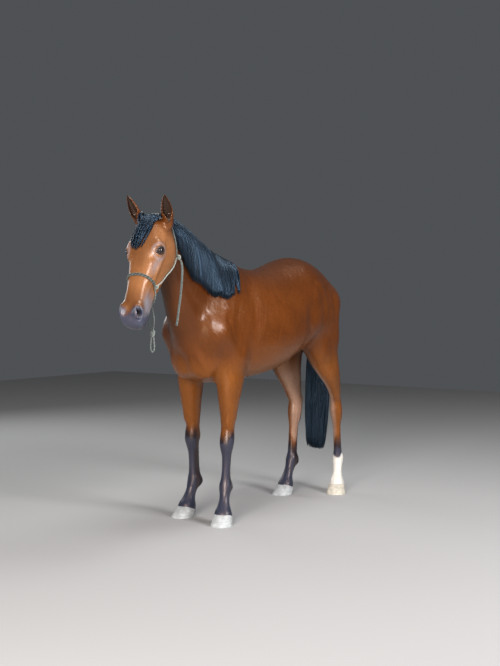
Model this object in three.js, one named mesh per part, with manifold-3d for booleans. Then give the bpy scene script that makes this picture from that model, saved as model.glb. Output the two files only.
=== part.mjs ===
// A bay horse standing square-on with its head turned a little to the left, life size,
// wearing a rope halter. Millimetres, +X towards the head, +Y to its left, +Z up, on the floor.
// The body is described once as a distance function (lofts whose sections are splines of a
// few rows, joined softly with muscles). It is meshed part by part and parted with thin cuts.
import * as THREE from 'three';
import Module from 'manifold-3d';

const wasm = await Module();
wasm.setup();

// ---------------------------------------------------------------- driving dimensions, mm
const GAP = 0.3;                  // clearance between neighbouring solids
const COAT = 1.5;                 // hair masses and ropes lie this far off the flesh
// trunk rows: x, widest height, half width, up, down, roundness above, roundness below
const TRUNK = [
  [-790, 1360, 36, 44, 45, 2, 2],
  [-740, 1335, 80, 100, 90, 2, 2],
  [-660, 1275, 160, 206, 150, 2.1, 2.1],
  [-570, 1225, 220, 302, 185, 2.2, 2.1],
  [-470, 1210, 246, 352, 215, 2.2, 2.1],
  [-360, 1200, 258, 372, 240, 2.2, 2.1],
  [-250, 1165, 268, 380, 245, 2.3, 2.1],
  [-120, 1125, 280, 384, 250, 2.2, 2.1],
  [20, 1105, 287, 384, 260, 2.1, 2.1],
  [160, 1100, 276, 396, 272, 1.95, 2.1],
  [300, 1100, 248, 421, 280, 1.85, 2.1],
  [420, 1110, 218, 422, 290, 1.75, 2.2],
  [550, 1110, 185, 338, 285, 1.9, 2.1],
  [660, 1100, 130, 240, 225, 2, 2],
];
// neck rows: distance along its axis, half width, up, down, roundness above, below
const NECK_BASE = [520, 0, 1230], NECK_TOP = [1010, 60, 1672];
const NECK = [
  [-100, 0, 135, 240, 280, 2, 2.2],
  [0, 0, 142, 272, 300, 1.9, 2.1],
  [120, 0, 128, 300, 290, 1.8, 2.1],
  [300, 0, 100, 245, 216, 1.8, 2.2],
  [450, 0, 84, 196, 150, 1.9, 2.2],
  [580, 0, 74, 142, 112, 2, 2.2],
  [660, 0, 60, 92, 95, 2, 2.2],
];
// head: poll point, attitude in degrees, rows: s down the face, centre depth, half width,
// up, down, roundness above, below (s down the face, d out of the forehead, l to the left)
const POLL = [1085, 100, 1758], HEAD_PITCH = 61, HEAD_YAW = 14, HEAD_ROLL = -3;
const HEAD = [
  [20, -58, 70, 82, 80, 2.2, 2.2],
  [70, -52, 86, 105, 126, 2.3, 2.4],
  [130, -47, 92, 113, 157, 2.5, 2.6],
  [200, -42, 93, 109, 166, 2.7, 2.6],
  [280, -40, 83, 96, 156, 2.7, 2.4],
  [360, -38, 70, 83, 133, 2.6, 2.3],
  [440, -36, 62, 74, 110, 2.5, 2.2],
  [500, -36, 63, 70, 98, 2.4, 2.2],
  [555, -38, 65, 64, 84, 2.3, 2.2],
  [595, -42, 56, 50, 66, 2.2, 2.2],
];
const EYE = [224, 12, 88], EYE_RADIUS = 21.5, EYE_FACING = [0.28, 0.52, 0.80];
const EYE_LENGTH = [0.82, 0.45, 0];      // the lids' long axis
const FACE_FROM = 300, FACE_LONG = 1.075; // the face below the eyes is drawn out
// ear rows: distance along the ear, half width, back, front; root height, rim angle, wall
const EAR = [
  [0, 25, 24, 27],
  [30, 30, 24, 26],
  [65, 33, 22, 22],
  [100, 28.5, 18, 16],
  [135, 18, 12, 9],
  [155, 9, 7, 5],
  [168, 1.5, 2, 1.5],
];
const EAR_ROOT = 22, EAR_RIM = 2.15, EAR_WALL = 4.2;
const EARS = {
  left: { base: [40, -20, 88], tip: [-67, 117, 98], face: [0.55, 0.55, 0.62] },
  right: { base: [28, -16, -88], tip: [-68, 112, -126], face: [0.75, 0.6, -0.1] },
};
// leg rows: height, forward offset, half width, front, back
const FORE = [
  [30, 62, 54, 58, 54],
  [62, 58, 51.5, 54, 55],
  [85, 54, 46, 48, 51],
  [110, 44, 36.5, 39, 43],
  [140, 30, 30.5, 34, 38],
  [170, 15, 31.5, 35.5, 41],
  [200, 3, 37, 40, 50],
  [225, -1, 37.5, 39, 50],
  [255, -1, 30.5, 34, 44],
  [290, 0, 26.5, 31, 40],
  [350, 0, 26, 31, 39],
  [400, 2, 29.5, 34, 39],
  [432, 6, 37, 39, 40],
  [465, 8, 42.5, 43, 44],
  [500, 6, 42.5, 42, 46],
  [545, 0, 39.5, 40, 42],
  [610, 0, 44, 48, 48],
  [690, 3, 53, 60, 56],
  [770, 6, 61, 72, 69],
  [850, 5, 66, 84, 82],
  [930, -2, 64, 95, 94],
  [1000, -14, 55, 100, 105],
];
const HIND = [
  [30, 72, 53, 56, 53],
  [62, 68, 50, 52, 54],
  [85, 63, 45, 47, 50],
  [110, 52, 36, 39, 43],
  [145, 34, 30.5, 34, 38],
  [180, 15, 32, 35.5, 42],
  [210, 2, 37, 40, 50],
  [235, -1, 37.5, 39, 50],
  [268, 0, 29.5, 33, 42],
  [310, 2, 26.8, 32, 40],
  [380, 4, 26.2, 33, 39],
  [450, 6, 28, 35, 40],
  [510, 8, 37, 44, 46],
  [560, 10, 41.5, 48, 50],
  [610, 14, 37, 46, 56],
  [660, 26, 35, 58, 58],
  [720, 52, 44, 77, 66],
  [790, 90, 59, 103, 86],
  [870, 130, 74, 132, 112],
  [950, 165, 86, 158, 138],
  [1050, 195, 95, 182, 168],
  [1150, 205, 96, 192, 190],
  [1250, 205, 80, 176, 180],
];
// each leg: rows, height of its pivot, reach from ankle to hoof, heights of its twist,
// line at the pivot, hoof on the ground, toe-out in degrees, side
const LEGS = {
  left_foreleg: {
    rows: FORE, pivot: 1080, ankle: 95, twist: [450, 850], top: [430, 135], hoof: [565, 162],
    out: 22, side: 1, cut: [335, 860, 812, 985, 8],
  },
  right_foreleg: {
    rows: FORE, pivot: 1080, ankle: 95, twist: [450, 850], top: [445, -155], hoof: [483, -192],
    out: -10, side: -1, cut: [335, 860, 812, 985, 8],
  },
  left_hind_leg: {
    rows: HIND, pivot: 1180, ankle: 104, twist: [500, 1000], top: [-735, 130], hoof: [-742, 150],
    out: 24, side: 1, cut: [-960, -300, 880, 1180, 8],
  },
  right_hind_leg: {
    rows: HIND, pivot: 1180, ankle: 104, twist: [500, 1000], top: [-755, -130], hoof: [-506, -128],
    out: -4, side: -1, cut: [-960, -300, 880, 1180, 8],
  },
};
const TAIL = [                    // tail rows: x, y, z, half thickness, half width
  [-806, -2, 1376, 30, 34], [-840, -8, 1316, 42, 56], [-850, -20, 1200, 47, 78],
  [-846, -36, 1050, 48, 95], [-840, -50, 850, 45, 100], [-836, -58, 650, 42, 99],
  [-832, -62, 470, 39, 94], [-830, -64, 340, 33, 84], [-830, -65, 270, 22, 68],
];
const ROPE = 7;                   // halter rope diameter

// ---------------------------------------------------------------- small mathematics
const { sin, cos, abs, min, max, hypot, sqrt, exp, PI } = Math;
const clamp = (v, a, b) => max(a, min(b, v));
const dot = (a, b) => a[0] * b[0] + a[1] * b[1] + a[2] * b[2];
const add = (a, b, k = 1) => [a[0] + k * b[0], a[1] + k * b[1], a[2] + k * b[2]];
const cross = (a, b) => [a[1] * b[2] - a[2] * b[1], a[2] * b[0] - a[0] * b[2], a[0] * b[1] - a[1] * b[0]];
const unit = (a) => { const n = hypot(...a); return [a[0] / n, a[1] / n, a[2] / n]; };
const rad = (deg) => deg * PI / 180;
const smooth = (t) => t * t * (3 - 2 * t);

// smooth curve through the rows of a table at s; the first column is s
function rowAt(table, s) {
  const n = table.length, x = (i) => table[i][0];
  s = clamp(s, x(0), x(n - 1));
  let i = 0;
  while (i < n - 2 && s > x(i + 1)) i += 1;
  const h = x(i + 1) - x(i), u = (s - x(i)) / h, out = [];
  const slope = (j, k) => (table[j + 1][k] - table[j][k]) / (x(j + 1) - x(j));
  const tangent = (j, k) => {
    if (j === 0) return slope(0, k);
    if (j === n - 1) return slope(n - 2, k);
    const a = x(j) - x(j - 1), b = x(j + 1) - x(j);
    return (slope(j - 1, k) * b + slope(j, k) * a) / (a + b);
  };
  for (let k = 1; k < table[0].length; k += 1) {
    out.push((2 * u ** 3 - 3 * u * u + 1) * table[i][k] + (u ** 3 - 2 * u * u + u) * h * tangent(i, k)
      + (3 * u * u - 2 * u ** 3) * table[i + 1][k] + (u ** 3 - u * u) * h * tangent(i + 1, k));
  }
  return out;
}

// ---------------------------------------------------------------- distance functions
const join = (a, b, k) => min(a, b) - (max(k - abs(a - b), 0) / k) ** 2 * k / 4;
const carve = (a, b, k) => -join(-a, b, k);

function loft(s, v, w, table, cap0, cap1) {
  const [cw, half, up, down, nUp, nDown] = rowAt(table, s);
  const past = max(s - table[table.length - 1][0], 0), before = max(table[0][0] - s, 0);
  const dw = w - cw, high = dw > 0 ? up : down, n = dw > 0 ? nUp : nDown;
  const over = past / cap1 + before / cap0;
  const F = (abs(v / half) ** n + abs(dw / high) ** n + over ** n) ** (1 / n) + 1e-6;
  const q = hypot(v, dw, past + before) + 1e-3;
  return (F - 1) * max(q / F, min(half, high) / 2);
}

function ball(x, y, z, c, r) {
  const dx = x - c[0], dy = y - c[1], dz = z - c[2];
  const F = hypot(dx / r[0], dy / r[1], dz / r[2]) + 1e-6;
  const G = hypot(dx / r[0] ** 2, dy / r[1] ** 2, dz / r[2] ** 2) + 1e-9;
  return F > 0.3 ? F * (F - 1) / G : (F - 1) * min(...r);
}

// tapered capsule from a to b, flattened across y by the factor flat
function muscle(x, y, z, a, b, ra, rb, flat = 1) {
  const p = [x - a[0], (y - a[1]) / flat, z - a[2]];
  const d = [b[0] - a[0], (b[1] - a[1]) / flat, b[2] - a[2]];
  const t = clamp(dot(p, d) / dot(d, d), 0, 1);
  return (hypot(...add(p, d, -t)) - ra - (rb - ra) * smooth(t)) * flat;
}

function crease(x, y, z, points, width, depth) {
  let best = Infinity;
  for (let i = 1; i < points.length; i += 1) {
    const a = points[i - 1], d = add(points[i], a, -1), p = [x - a[0], y - a[1], z - a[2]];
    const q = add(p, d, -clamp(dot(p, d) / dot(d, d), 0, 1));
    best = min(best, dot(q, q));
  }
  return depth * exp(-best / width ** 2);
}

// ---------------------------------------------------------------- the horse's own frames
const HEAD_AXES = (() => {
  const p = rad(HEAD_PITCH), r = rad(HEAD_ROLL), y = rad(HEAD_YAW);
  const s = [cos(p), 0, -sin(p)], d0 = [sin(p), 0, cos(p)], l0 = [0, 1, 0];
  const d = d0.map((v, i) => cos(r) * v + sin(r) * l0[i]);
  const l = l0.map((v, i) => cos(r) * v - sin(r) * d0[i]);
  return [s, d, l].map((a) => [a[0] * cos(y) - a[1] * sin(y), a[0] * sin(y) + a[1] * cos(y), a[2]]);
})();
function headCoords(x, y, z) {
  const [s, d, l] = HEAD_AXES.map((a) => dot(a, [x - POLL[0], y - POLL[1], z - POLL[2]]));
  return [s > FACE_FROM ? FACE_FROM + (s - FACE_FROM) / FACE_LONG : s, d, l];
}
function headPoint([s, d, l]) {
  const along = s > FACE_FROM ? FACE_FROM + (s - FACE_FROM) * FACE_LONG : s;
  return add(add(add(POLL, HEAD_AXES[0], along), HEAD_AXES[1], d), HEAD_AXES[2], l);
}

const NECK_AXES = (() => {
  const a = unit(add(NECK_TOP, NECK_BASE, -1)), side = unit([-a[1], a[0], 0]);
  return [a, side, cross(a, side)];
})();
const neckPoint = ([s, v, w]) => add(add(add(NECK_BASE, NECK_AXES[0], s), NECK_AXES[1], v), NECK_AXES[2], w);

// a leg's own coordinates: forward and outward of its line, turned by the toe-out
function legLine(leg, z) {
  const out = rad(leg.out), ax = leg.hoof[0] - leg.ankle * cos(out), ay = leg.hoof[1] - leg.ankle * sin(out);
  const k = clamp((leg.pivot - z) / (leg.pivot - 220), 0, 1);
  const turn = out * smooth(clamp((leg.twist[1] - z) / (leg.twist[1] - leg.twist[0]), 0, 1));
  return [leg.top[0] + (ax - leg.top[0]) * k, leg.top[1] + (ay - leg.top[1]) * k, turn];
}
function legCoords(x, y, z, leg) {
  const [cx, cy, a] = legLine(leg, z), dx = x - cx, dy = y - cy;
  return [dx * cos(a) + dy * sin(a), (dy * cos(a) - dx * sin(a)) * leg.side];
}
function legPoint([lx, ly, z], leg) {
  const [cx, cy, a] = legLine(leg, z), s = ly * leg.side;
  return [cx + lx * cos(a) - s * sin(a), cy + lx * sin(a) + s * cos(a), z];
}

// ---------------------------------------------------------------- flesh
function trunkField(x, y, z) {
  const ya = abs(y), p = [x - NECK_BASE[0], y - NECK_BASE[1], z - NECK_BASE[2]];
  const [s, v, w] = NECK_AXES.map((a) => dot(a, p));
  let f = loft(x, y, z, TRUNK, 35, 60);
  f = join(f, loft(s, v, w, NECK, 100, 60), 100);
  // shoulder blade and its muscles
  f = join(f, muscle(x, ya, z, [385, 85, 1400], [590, 132, 1140], 98, 90, 0.75), 70);
  f = join(f, muscle(x, ya, z, [585, 138, 1120], [450, 145, 980], 88, 78, 0.85), 70);
  f = join(f, muscle(x, ya, z, [360, 135, 1190], [420, 145, 980], 105, 72, 0.8), 60);
  f = join(f, ball(x, ya, z, [610, 75, 1000], [85, 80, 150]), 50);
  // hindquarter
  f = join(f, muscle(x, ya, z, [-360, 110, 1370], [-620, 105, 1280], 135, 125, 0.9), 60);
  f = join(f, muscle(x, ya, z, [-615, 100, 1260], [-635, 110, 1060], 122, 110, 0.9), 70);
  f = join(f, ball(x, ya, z, [-370, 205, 1345], [45, 30, 45]), 60);
  return f;
}

// grooves between the muscles
function relief(x, y, z) {
  const ya = abs(y);
  return crease(x, ya, z, [[290, 150, 1420], [325, 215, 1250], [350, 240, 1080], [375, 215, 950]], 45, 8)
    + crease(x, ya, z, [[500, 120, 1400], [600, 180, 1240], [650, 190, 1160]], 40, 6)
    + crease(x, ya, z, [[710, 0, 1160], [700, 0, 880]], 26, 16)
    + crease(x, ya, z, [[620, 150, 985], [560, 190, 930], [500, 205, 900]], 30, 6)
    + crease(x, ya, z, [[-255, 255, 1220], [-250, 250, 1100], [-210, 215, 960]], 60, 12)
    + crease(x, ya, z, [[-555, 220, 1300], [-585, 235, 1200], [-585, 240, 1080], [-540, 220, 950]], 30, 10)
    + crease(x, ya, z, [[-760, 0, 1250], [-745, 0, 1050], [-680, 0, 900]], 30, 30);
}

const eyeDistance = (s, d, la) => hypot(s - EYE[0], d - EYE[1], la - EYE[2]);
function earRoot(s, d, l, e) {
  const [a, u, w] = earFrame(e), p = [s - e.base[0], d - e.base[1], l - e.base[2]];
  const t = dot(a, p), across = dot(u, p), out = dot(w, p), [half, back, front] = rowAt(EAR, t);
  const F = hypot(across / half, out / (out > 0 ? front : back)) + 1e-6;
  return max((F - 1) * max(hypot(across, out) / F, 8), t - EAR_ROOT - 25, -t - 30);
}

function headField(x, y, z) {
  const [s, d, l] = headCoords(x, y, z), la = abs(l);
  let f = loft(s, l, d, HEAD, 45, 30);
  // brow ridge over the orbit, hollow of the temple
  f = join(f, ball(s, d, la, [222, 4, 74], [56, 42, 28]), 35);
  f = join(f, muscle(s, d, la, [178, 28, 78], [222, 34, 86], 13, 12), 22);
  f = f + crease(s, d, la, [[115, 22, 80], [150, 16, 88]], 22, 6);
  // cheek muscle, facial crest, hollow below the crest
  f = join(f, ball(s, d, la, [168, -118, 46], [100, 90, 40]), 30);
  f = join(f, muscle(s, d, la, [262, -34, 80], [365, -44, 62], 12, 8), 20);
  f = f + crease(s, d, la, [[300, -70, 78], [390, -66, 64], [450, -56, 60]], 22, 4);
  // nostril wings, upper lip, chin
  f = join(f, ball(s, d, la, [558, 4, 42], [46, 34, 28]), 20);
  f = join(f, ball(s, d, l, [585, -34, 0], [38, 54, 56]), 20);
  f = join(f, ball(s, d, l, [560, -108, 0], [46, 28, 38]), 20);
  f = carve(f, muscle(s, d, la, [545, 34, 54], [586, -2, 52], 10, 15), 8);
  // mouth
  f = f + crease(s, d, la, [[620, -86, 0], [590, -86, 42], [545, -80, 58], [500, -74, 64]], 4.5, 7);
  // a shell of lid over each eyeball, and the ears' roots
  const lid = eyeDistance(s, d, la) - EYE_RADIUS - 4.5;
  f = join(f, lid, 12);
  for (const e of Object.values(EARS)) f = join(f, earRoot(s, d, l, e), 22);
  return f;
}

function limb(lx, ly, z, leg) {
  const rows = leg.rows, [offset, half, front, back] = rowAt(rows, z);
  const dx = lx - offset, deep = dx > 0 ? front : back;
  const above = max(z - rows[rows.length - 1][0], 0), below = max(rows[0][0] - z, 0);
  const tall = above / 100 + below / 20;
  const F = (abs(dx / deep) ** 2.2 + abs(ly / half) ** 2.2 + tall ** 2.2) ** (1 / 2.2) + 1e-6;
  return (F - 1) * max((hypot(dx, ly, above + below) + 1e-3) / F, half / 2);
}

function foreLegField(x, y, z, leg) {
  const [lx, ly] = legCoords(x, y, z, leg);
  let f = limb(lx, ly, z, leg);
  f = join(f, ball(lx, ly, z, [-34, 4, 486], [18, 20, 30]), 30);
  f = join(f, ball(lx, ly, z, [-34, 0, 205], [15, 22, 24]), 30);
  f = join(f, muscle(lx, ly, z, [24, 14, 850], [22, 10, 600], 50, 26), 30);
  f = join(f, muscle(lx, ly, z, [-40, 8, 840], [-18, 6, 620], 50, 28), 30);
  return f;
}
function hindLegField(x, y, z, leg) {
  const [lx, ly] = legCoords(x, y, z, leg);
  let f = limb(lx, ly, z, leg);
  f = join(f, muscle(lx, ly, z, [-38, 0, 622], [-20, 0, 500], 20, 22), 30);
  f = join(f, muscle(lx, ly, z, [-40, 0, 630], [20, 4, 800], 12, 30), 30);
  f = join(f, ball(lx, ly, z, [-34, 0, 214], [15, 22, 24]), 30);
  f = join(f, ball(lx, ly, z, [262, 34, 975], [55, 45, 80]), 60);
  f = join(f, muscle(lx, ly, z, [210, 10, 880], [60, 10, 680], 66, 34, 0.8), 30);
  return f;
}
const legField = (x, y, z, leg) => (leg.rows === FORE ? foreLegField : hindLegField)(x, y, z, leg);

function flesh(x, y, z) {
  let f = trunkField(x, y, z);
  if (x > 650) f = join(f, headField(x, y, z), 35);
  f += relief(x, y, z);
  if (z < 1400) for (const leg of Object.values(LEGS)) f = join(f, legField(x, y, z, leg), 50);
  return f;
}

// ---------------------------------------------------------------- from function to solid
// Newton steps that carry a point to the surface where field = level
function project(field, p, level = 0, steps = 4) {
  const e = 1.5;
  for (let i = 0; i < steps; i += 1) {
    const f = field(...p) - level;
    const g = [0, 1, 2].map((k) => {
      const a = [...p], b = [...p];
      a[k] += e; b[k] -= e;
      return (field(...a) - field(...b)) / (2 * e);
    });
    p = add(p, g, -clamp(f / max(dot(g, g), 0.25), -25, 25));
  }
  return p;
}

function toManifold(positions, triangles) {
  const corner = ([a, b, c]) => dot(positions[a], cross(positions[b], positions[c]));
  const volume = triangles.reduce((v, t) => v + corner(t), 0);
  const faces = volume < 0 ? triangles.map(([a, b, c]) => [a, c, b]) : triangles;
  const mesh = new wasm.Mesh({
    numProp: 3, vertProperties: new Float32Array(positions.flat()), triVerts: new Uint32Array(faces.flat()),
  });
  mesh.merge();
  return new wasm.Manifold(mesh);
}

// the sheets of surface that cross one grid cell, each as the cell edges it crosses
const CORNERS = [0, 1, 2, 3, 4, 5, 6, 7].map((c) => [c & 1, (c >> 1) & 1, c >> 2]);
const FACES = [[0, 1, 3, 2], [4, 5, 7, 6], [0, 1, 5, 4], [2, 3, 7, 6], [0, 2, 6, 4], [1, 3, 7, 5]];
function sheetsOf(v) {
  const inside = v.map((x) => x < 0), sheet = new Map();
  const key = (a, b) => `${min(a, b)} ${max(a, b)}`;
  const find = (k) => (sheet.get(k) === k ? k : find(sheet.get(k)));
  for (const face of FACES) {
    const crossed = face.map((a, i) => [a, face[(i + 1) % 4]]).filter(([a, b]) => inside[a] !== inside[b]);
    crossed.forEach(([a, b]) => { if (!sheet.has(key(a, b))) sheet.set(key(a, b), key(a, b)); });
    const pairs = crossed.length === 2 ? [crossed] : crossed.length === 4
      ? face.filter((a) => inside[a]).map((a) => crossed.filter((e) => e.includes(a))) : [];
    for (const [e, g] of pairs) sheet.set(find(key(...e)), find(key(...g)));
  }
  const groups = {};
  for (const k of sheet.keys()) (groups[find(k)] ??= []).push(k.split(' ').map(Number));
  return Object.values(groups);
}

function* cellsOf(n, first) {
  for (let i = first; i < n[0] - 1; i += 1) {
    for (let j = first; j < n[1] - 1; j += 1) {
      for (let k = first; k < n[2] - 1; k += 1) yield [i, j, k];
    }
  }
}
// net of quads around the zero surface of field, on a grid of its own coordinates; place()
// carries grid coordinates into the horse's frame
function net(field, lo, hi, step, place = (p) => p) {
  const n = [0, 1, 2].map((k) => Math.ceil((hi[k] - lo[k]) / step[k]) + 1);
  const at = (i, j, k) => (i * n[1] + j) * n[2] + k;
  const local = (i, j, k) => [lo[0] + i * step[0], lo[1] + j * step[1], lo[2] + k * step[2]];
  const value = new Float64Array(n[0] * n[1] * n[2]);
  for (let i = 0; i < n[0]; i += 1) for (let j = 0; j < n[1]; j += 1) for (let k = 0; k < n[2]; k += 1) {
    value[at(i, j, k)] = field(...place(local(i, j, k)));
  }
  const vertexAt = new Map(), positions = [];
  for (const [i, j, k] of cellsOf(n, 0)) {
    const v = CORNERS.map(([a, b, c]) => value[at(i + a, j + b, k + c)]);
    for (const sheet of sheetsOf(v)) {
      let sum = [0, 0, 0];
      for (const [a, b] of sheet) {
        const p = [...CORNERS[a]];
        p[Math.log2(b - a)] += v[a] / (v[a] - v[b]);
        sum = add(sum, p, 1 / sheet.length);
        vertexAt.set(`${at(i, j, k)} ${a} ${b}`, positions.length);
      }
      positions.push(project(field, place(local(i + sum[0], j + sum[1], k + sum[2]))));
    }
  }
  const triangles = [];
  const quad = (a, b, c, d) => {
    const middle = (p, q) => abs(field(...add(positions[p], positions[q]).map((t) => t / 2)));
    if (middle(a, c) < middle(b, d)) triangles.push([a, b, c], [a, c, d]);
    else triangles.push([a, b, d], [b, c, d]);
  };
  for (const [i, j, k] of cellsOf(n, 1)) {
    const inside = value[at(i, j, k)] < 0;
    for (let axis = 0; axis < 3; axis += 1) {
      const e = [0, 1, 2].map((t) => +(t === axis)), bit = 1 << axis;
      if (inside === value[at(i + e[0], j + e[1], k + e[2])] < 0) continue;
      const u = (axis + 1) % 3, w = (axis + 2) % 3;
      const cell = (p, q) => {
        const c = [i, j, k], a = (p << u) | (q << w);
        c[u] -= p; c[w] -= q;
        return vertexAt.get(`${at(...c)} ${a} ${a | bit}`);
      };
      const ring = [cell(0, 0), cell(1, 0), cell(1, 1), cell(0, 1)];
      quad(...(inside ? ring : ring.reverse()));
    }
  }
  return toManifold(positions, triangles);
}

// closed solid through rings of equal count, capped by their middles
function tubeOf(rings) {
  const m = rings[0].length, positions = rings.flat(), triangles = [];
  for (let r = 0; r < rings.length - 1; r += 1) for (let i = 0; i < m; i += 1) {
    const a = r * m + i, b = r * m + (i + 1) % m;
    triangles.push([a, b, b + m], [a, b + m, a + m]);
  }
  const middle = (ring) => ring.reduce((s, p) => add(s, p, 1 / m), [0, 0, 0]);
  const first = positions.push(middle(rings[0])) - 1;
  const last = positions.push(middle(rings[rings.length - 1])) - 1;
  const end = (rings.length - 1) * m;
  for (let i = 0; i < m; i += 1) {
    triangles.push([first, (i + 1) % m, i], [last, end + i, end + (i + 1) % m]);
  }
  return toManifold(positions, triangles);
}

// convex cutting solids, extruded from a polygon: across x, or across the head's width
function prism(points, from, to, place) {
  const shape = new THREE.Shape(points.map(([a, b]) => new THREE.Vector2(a, b)));
  const g = new THREE.ExtrudeGeometry(shape, { depth: to - from, bevelEnabled: false });
  const p = g.attributes.position, tri = [], pos = [];
  for (let i = 0; i < p.count; i += 1) {
    pos.push(place([p.getX(i), p.getY(i), p.getZ(i) + from]));
    if (i % 3 === 0) tri.push([i, i + 1, i + 2]);
  }
  return toManifold(pos, tri);
}

const object = new THREE.Group();
function node(name, solid, color, roughness, metalness = 0) {
  const body = solid.decompose().sort((a, b) => b.volume() - a.volume())[0];
  const mesh = body.getMesh(), g = new THREE.BufferGeometry();
  g.setAttribute('position', new THREE.BufferAttribute(new Float32Array(mesh.vertProperties), 3));
  g.setIndex([...mesh.triVerts]);
  g.computeVertexNormals();
  const out = new THREE.Mesh(g, new THREE.MeshStandardMaterial({ color, roughness, metalness }));
  out.name = name;
  object.add(out);
  return out;
}

// ---------------------------------------------------------------- cuts between the parts
// each leg is cut off below a slanted line of height, between two stations
function legBlock(name, grow) {
  const { side, cut } = LEGS[name], [x0, x1, zIn, zOut, yIn] = cut;
  const line = (y) => zIn + (zOut - zIn) * (y - yIn) / (400 - yIn) + grow * 1.2;
  const inner = yIn - grow, outer = 420;
  const outline = [[inner, -60], [outer, -60], [outer, line(outer)], [inner, line(inner)]];
  return prism(outline, x0 - grow, x1 + grow, ([a, b, c]) => [c, a * side, b]);
}
function legRegion(x, y, z, { side, cut }) {
  const [x0, x1, zIn, zOut, yIn] = cut, ya = y * side;
  return max(x0 - x, x - x1, yIn - ya, z - zIn - (zOut - zIn) * (ya - yIn) / (400 - yIn));
}
// the neck starts at a slanted plane from the withers to the breast
const NECK_CUT = { point: [430, 0, 1520], normal: unit([0.80, 0, 0.60]) };
const neckSide = (x, y, z) => dot(NECK_CUT.normal, add([x, y, z], NECK_CUT.point, -1));
function neckBlock(shift) {
  const n = NECK_CUT.normal, along = [-n[2], 0, n[0]], o = add(NECK_CUT.point, n, shift);
  return prism([[-900, 0], [400, 0], [400, 1600], [-900, 1600]], -500, 500,
    ([a, b, c]) => add(add(o, along, a), n, b).map((v, i) => v + (i === 1 ? c : 0)));
}
// the head starts at a slanted plane behind the poll and the jaw
const HEAD_CUT = { point: [-20, 50], normal: [0.888, 0.460] };
const headSide = (x, y, z) => {
  const [s, d] = headCoords(x, y, z);
  const [ns, nd] = HEAD_CUT.normal, [s0, d0] = HEAD_CUT.point;
  return min(ns * (s - s0) + nd * (d - d0), d + 265);
};
function headBlock(shift) {
  const [ns, nd] = HEAD_CUT.normal, at = (t) => [
    HEAD_CUT.point[0] + ns * shift - nd * t, HEAD_CUT.point[1] + nd * shift + ns * t];
  const top = at(260), low = at((shift - nd * shift - 315) / ns);
  return prism([top, low, [800, low[1]], [800, top[1]]], -300, 300, ([a, b, c]) => headPoint([a, b, c]));
}

// ---------------------------------------------------------------- ears, eyes, hooves
function earFrame(e) {
  const a = unit(add(e.tip, e.base, -1));
  const w = unit(add(e.face, a, -dot(e.face, a)));
  return [a, cross(w, a), w];
}
function earRing(e, t, count) {
  const [a, u, w] = earFrame(e), [half, back, front] = rowAt(EAR, t), ring = [];
  const open = smooth(clamp((t - EAR_ROOT - 4) / 34, 0, 1));
  const thin = min(EAR_WALL, half * 0.45, back * 0.45);
  for (let i = 0; i < count; i += 1) {
    const phi = -PI + 2 * PI * i / count, k = abs(phi);
    let pu = half * sin(phi), pw = -(k < PI / 2 ? back : front) * cos(phi);
    if (k > EAR_RIM) {
      const psi = EAR_RIM * (1 - (k - EAR_RIM) / (PI - EAR_RIM)) * Math.sign(phi);
      pu += (open * ((half - thin) * sin(psi) - pu));
      pw += (open * (-((abs(psi) < PI / 2 ? back : front) - thin) * cos(psi) - pw));
    }
    ring.push(headPoint(add(add(add(e.base, a, t), u, pu), w, pw)));
  }
  return ring;
}
function earSolid(e) {
  const stations = [EAR_ROOT + GAP, 36, 54, 76, 100, 124, 146, 160, 167.5];
  return tubeOf(stations.map((t) => earRing(e, t, 12)));
}
// the block above the ear's root, which the head leaves free
function earBlock(e, half = 46) {
  const [a, u, w] = earFrame(e);
  return prism([[-half, -half], [half, -half], [half, half], [-half, half]], EAR_ROOT, 190,
    ([p, q, t]) => headPoint(add(add(add(e.base, a, t), u, p), w, q)));
}

function eyeFrame(side) {
  const flip = (v) => [v[0], v[1], v[2] * side];
  const w = unit(EYE_FACING), u = unit(add(EYE_LENGTH, w, -dot(EYE_LENGTH, w)));
  return { c: flip(EYE), u: flip(u), v: flip(cross(w, u)), w: flip(w) };
}
function ballSolid(center, radius, wide, high) {
  const g = new THREE.SphereGeometry(1, wide, high), p = g.attributes.position, index = g.index.array;
  const pos = [], tri = [];
  for (let i = 0; i < p.count; i += 1) {
    pos.push([0, 1, 2].map((k) => center[k] + radius[k] * p.getComponent(i, k)));
  }
  for (let i = 0; i < index.length; i += 3) {
    const t = [index[i], index[i + 1], index[i + 2]];
    const flat = [[0, 1], [1, 2], [2, 0]].some(([m, n]) => hypot(...add(pos[t[m]], pos[t[n]], -1)) < 1e-6);
    if (!flat) tri.push(t);
  }
  return toManifold(pos, tri);
}
// almond between the lids, reaching outward from the middle of the eyeball
function lidOpening(side) {
  const { c, u, v, w } = eyeFrame(side), outline = [];
  for (let i = 0; i < 12; i += 1) {
    const a = 2 * PI * i / 12;
    outline.push([21 * cos(a), (sin(a) > 0 ? 11.5 : 12.5) * sin(a)]);
  }
  return prism(outline, 0, 60, ([a, b, t]) => headPoint(add(add(add(c, u, a), v, b), w, t)));
}

function hoofRing(leg, height, shrink) {
  const ring = [], ankle = leg.ankle;
  for (let i = 0; i < 20; i += 1) {
    const a = 2 * PI * i / 20;
    let z = height === null ? 54 : height, lx = 0, ly = 0;
    for (let pass = 0; pass < 6; pass += 1) {
      const front = ankle + 67 - 0.8 * z, back = ankle - 62 - 0.55 * z, wide = 63 - 0.17 * z;
      const half = (front - back) / 2, power = (v) => Math.sign(v) * abs(v) ** (2 / 2.3);
      lx = (front + back) / 2 + (half - shrink) * power(cos(a));
      ly = (wide - shrink) * power(sin(a));
      if (height === null) z = 54 + 0.37 * (lx - ankle + 35) - GAP;
    }
    ring.push(legPoint([lx, ly, z], leg));
  }
  return ring;
}
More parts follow.
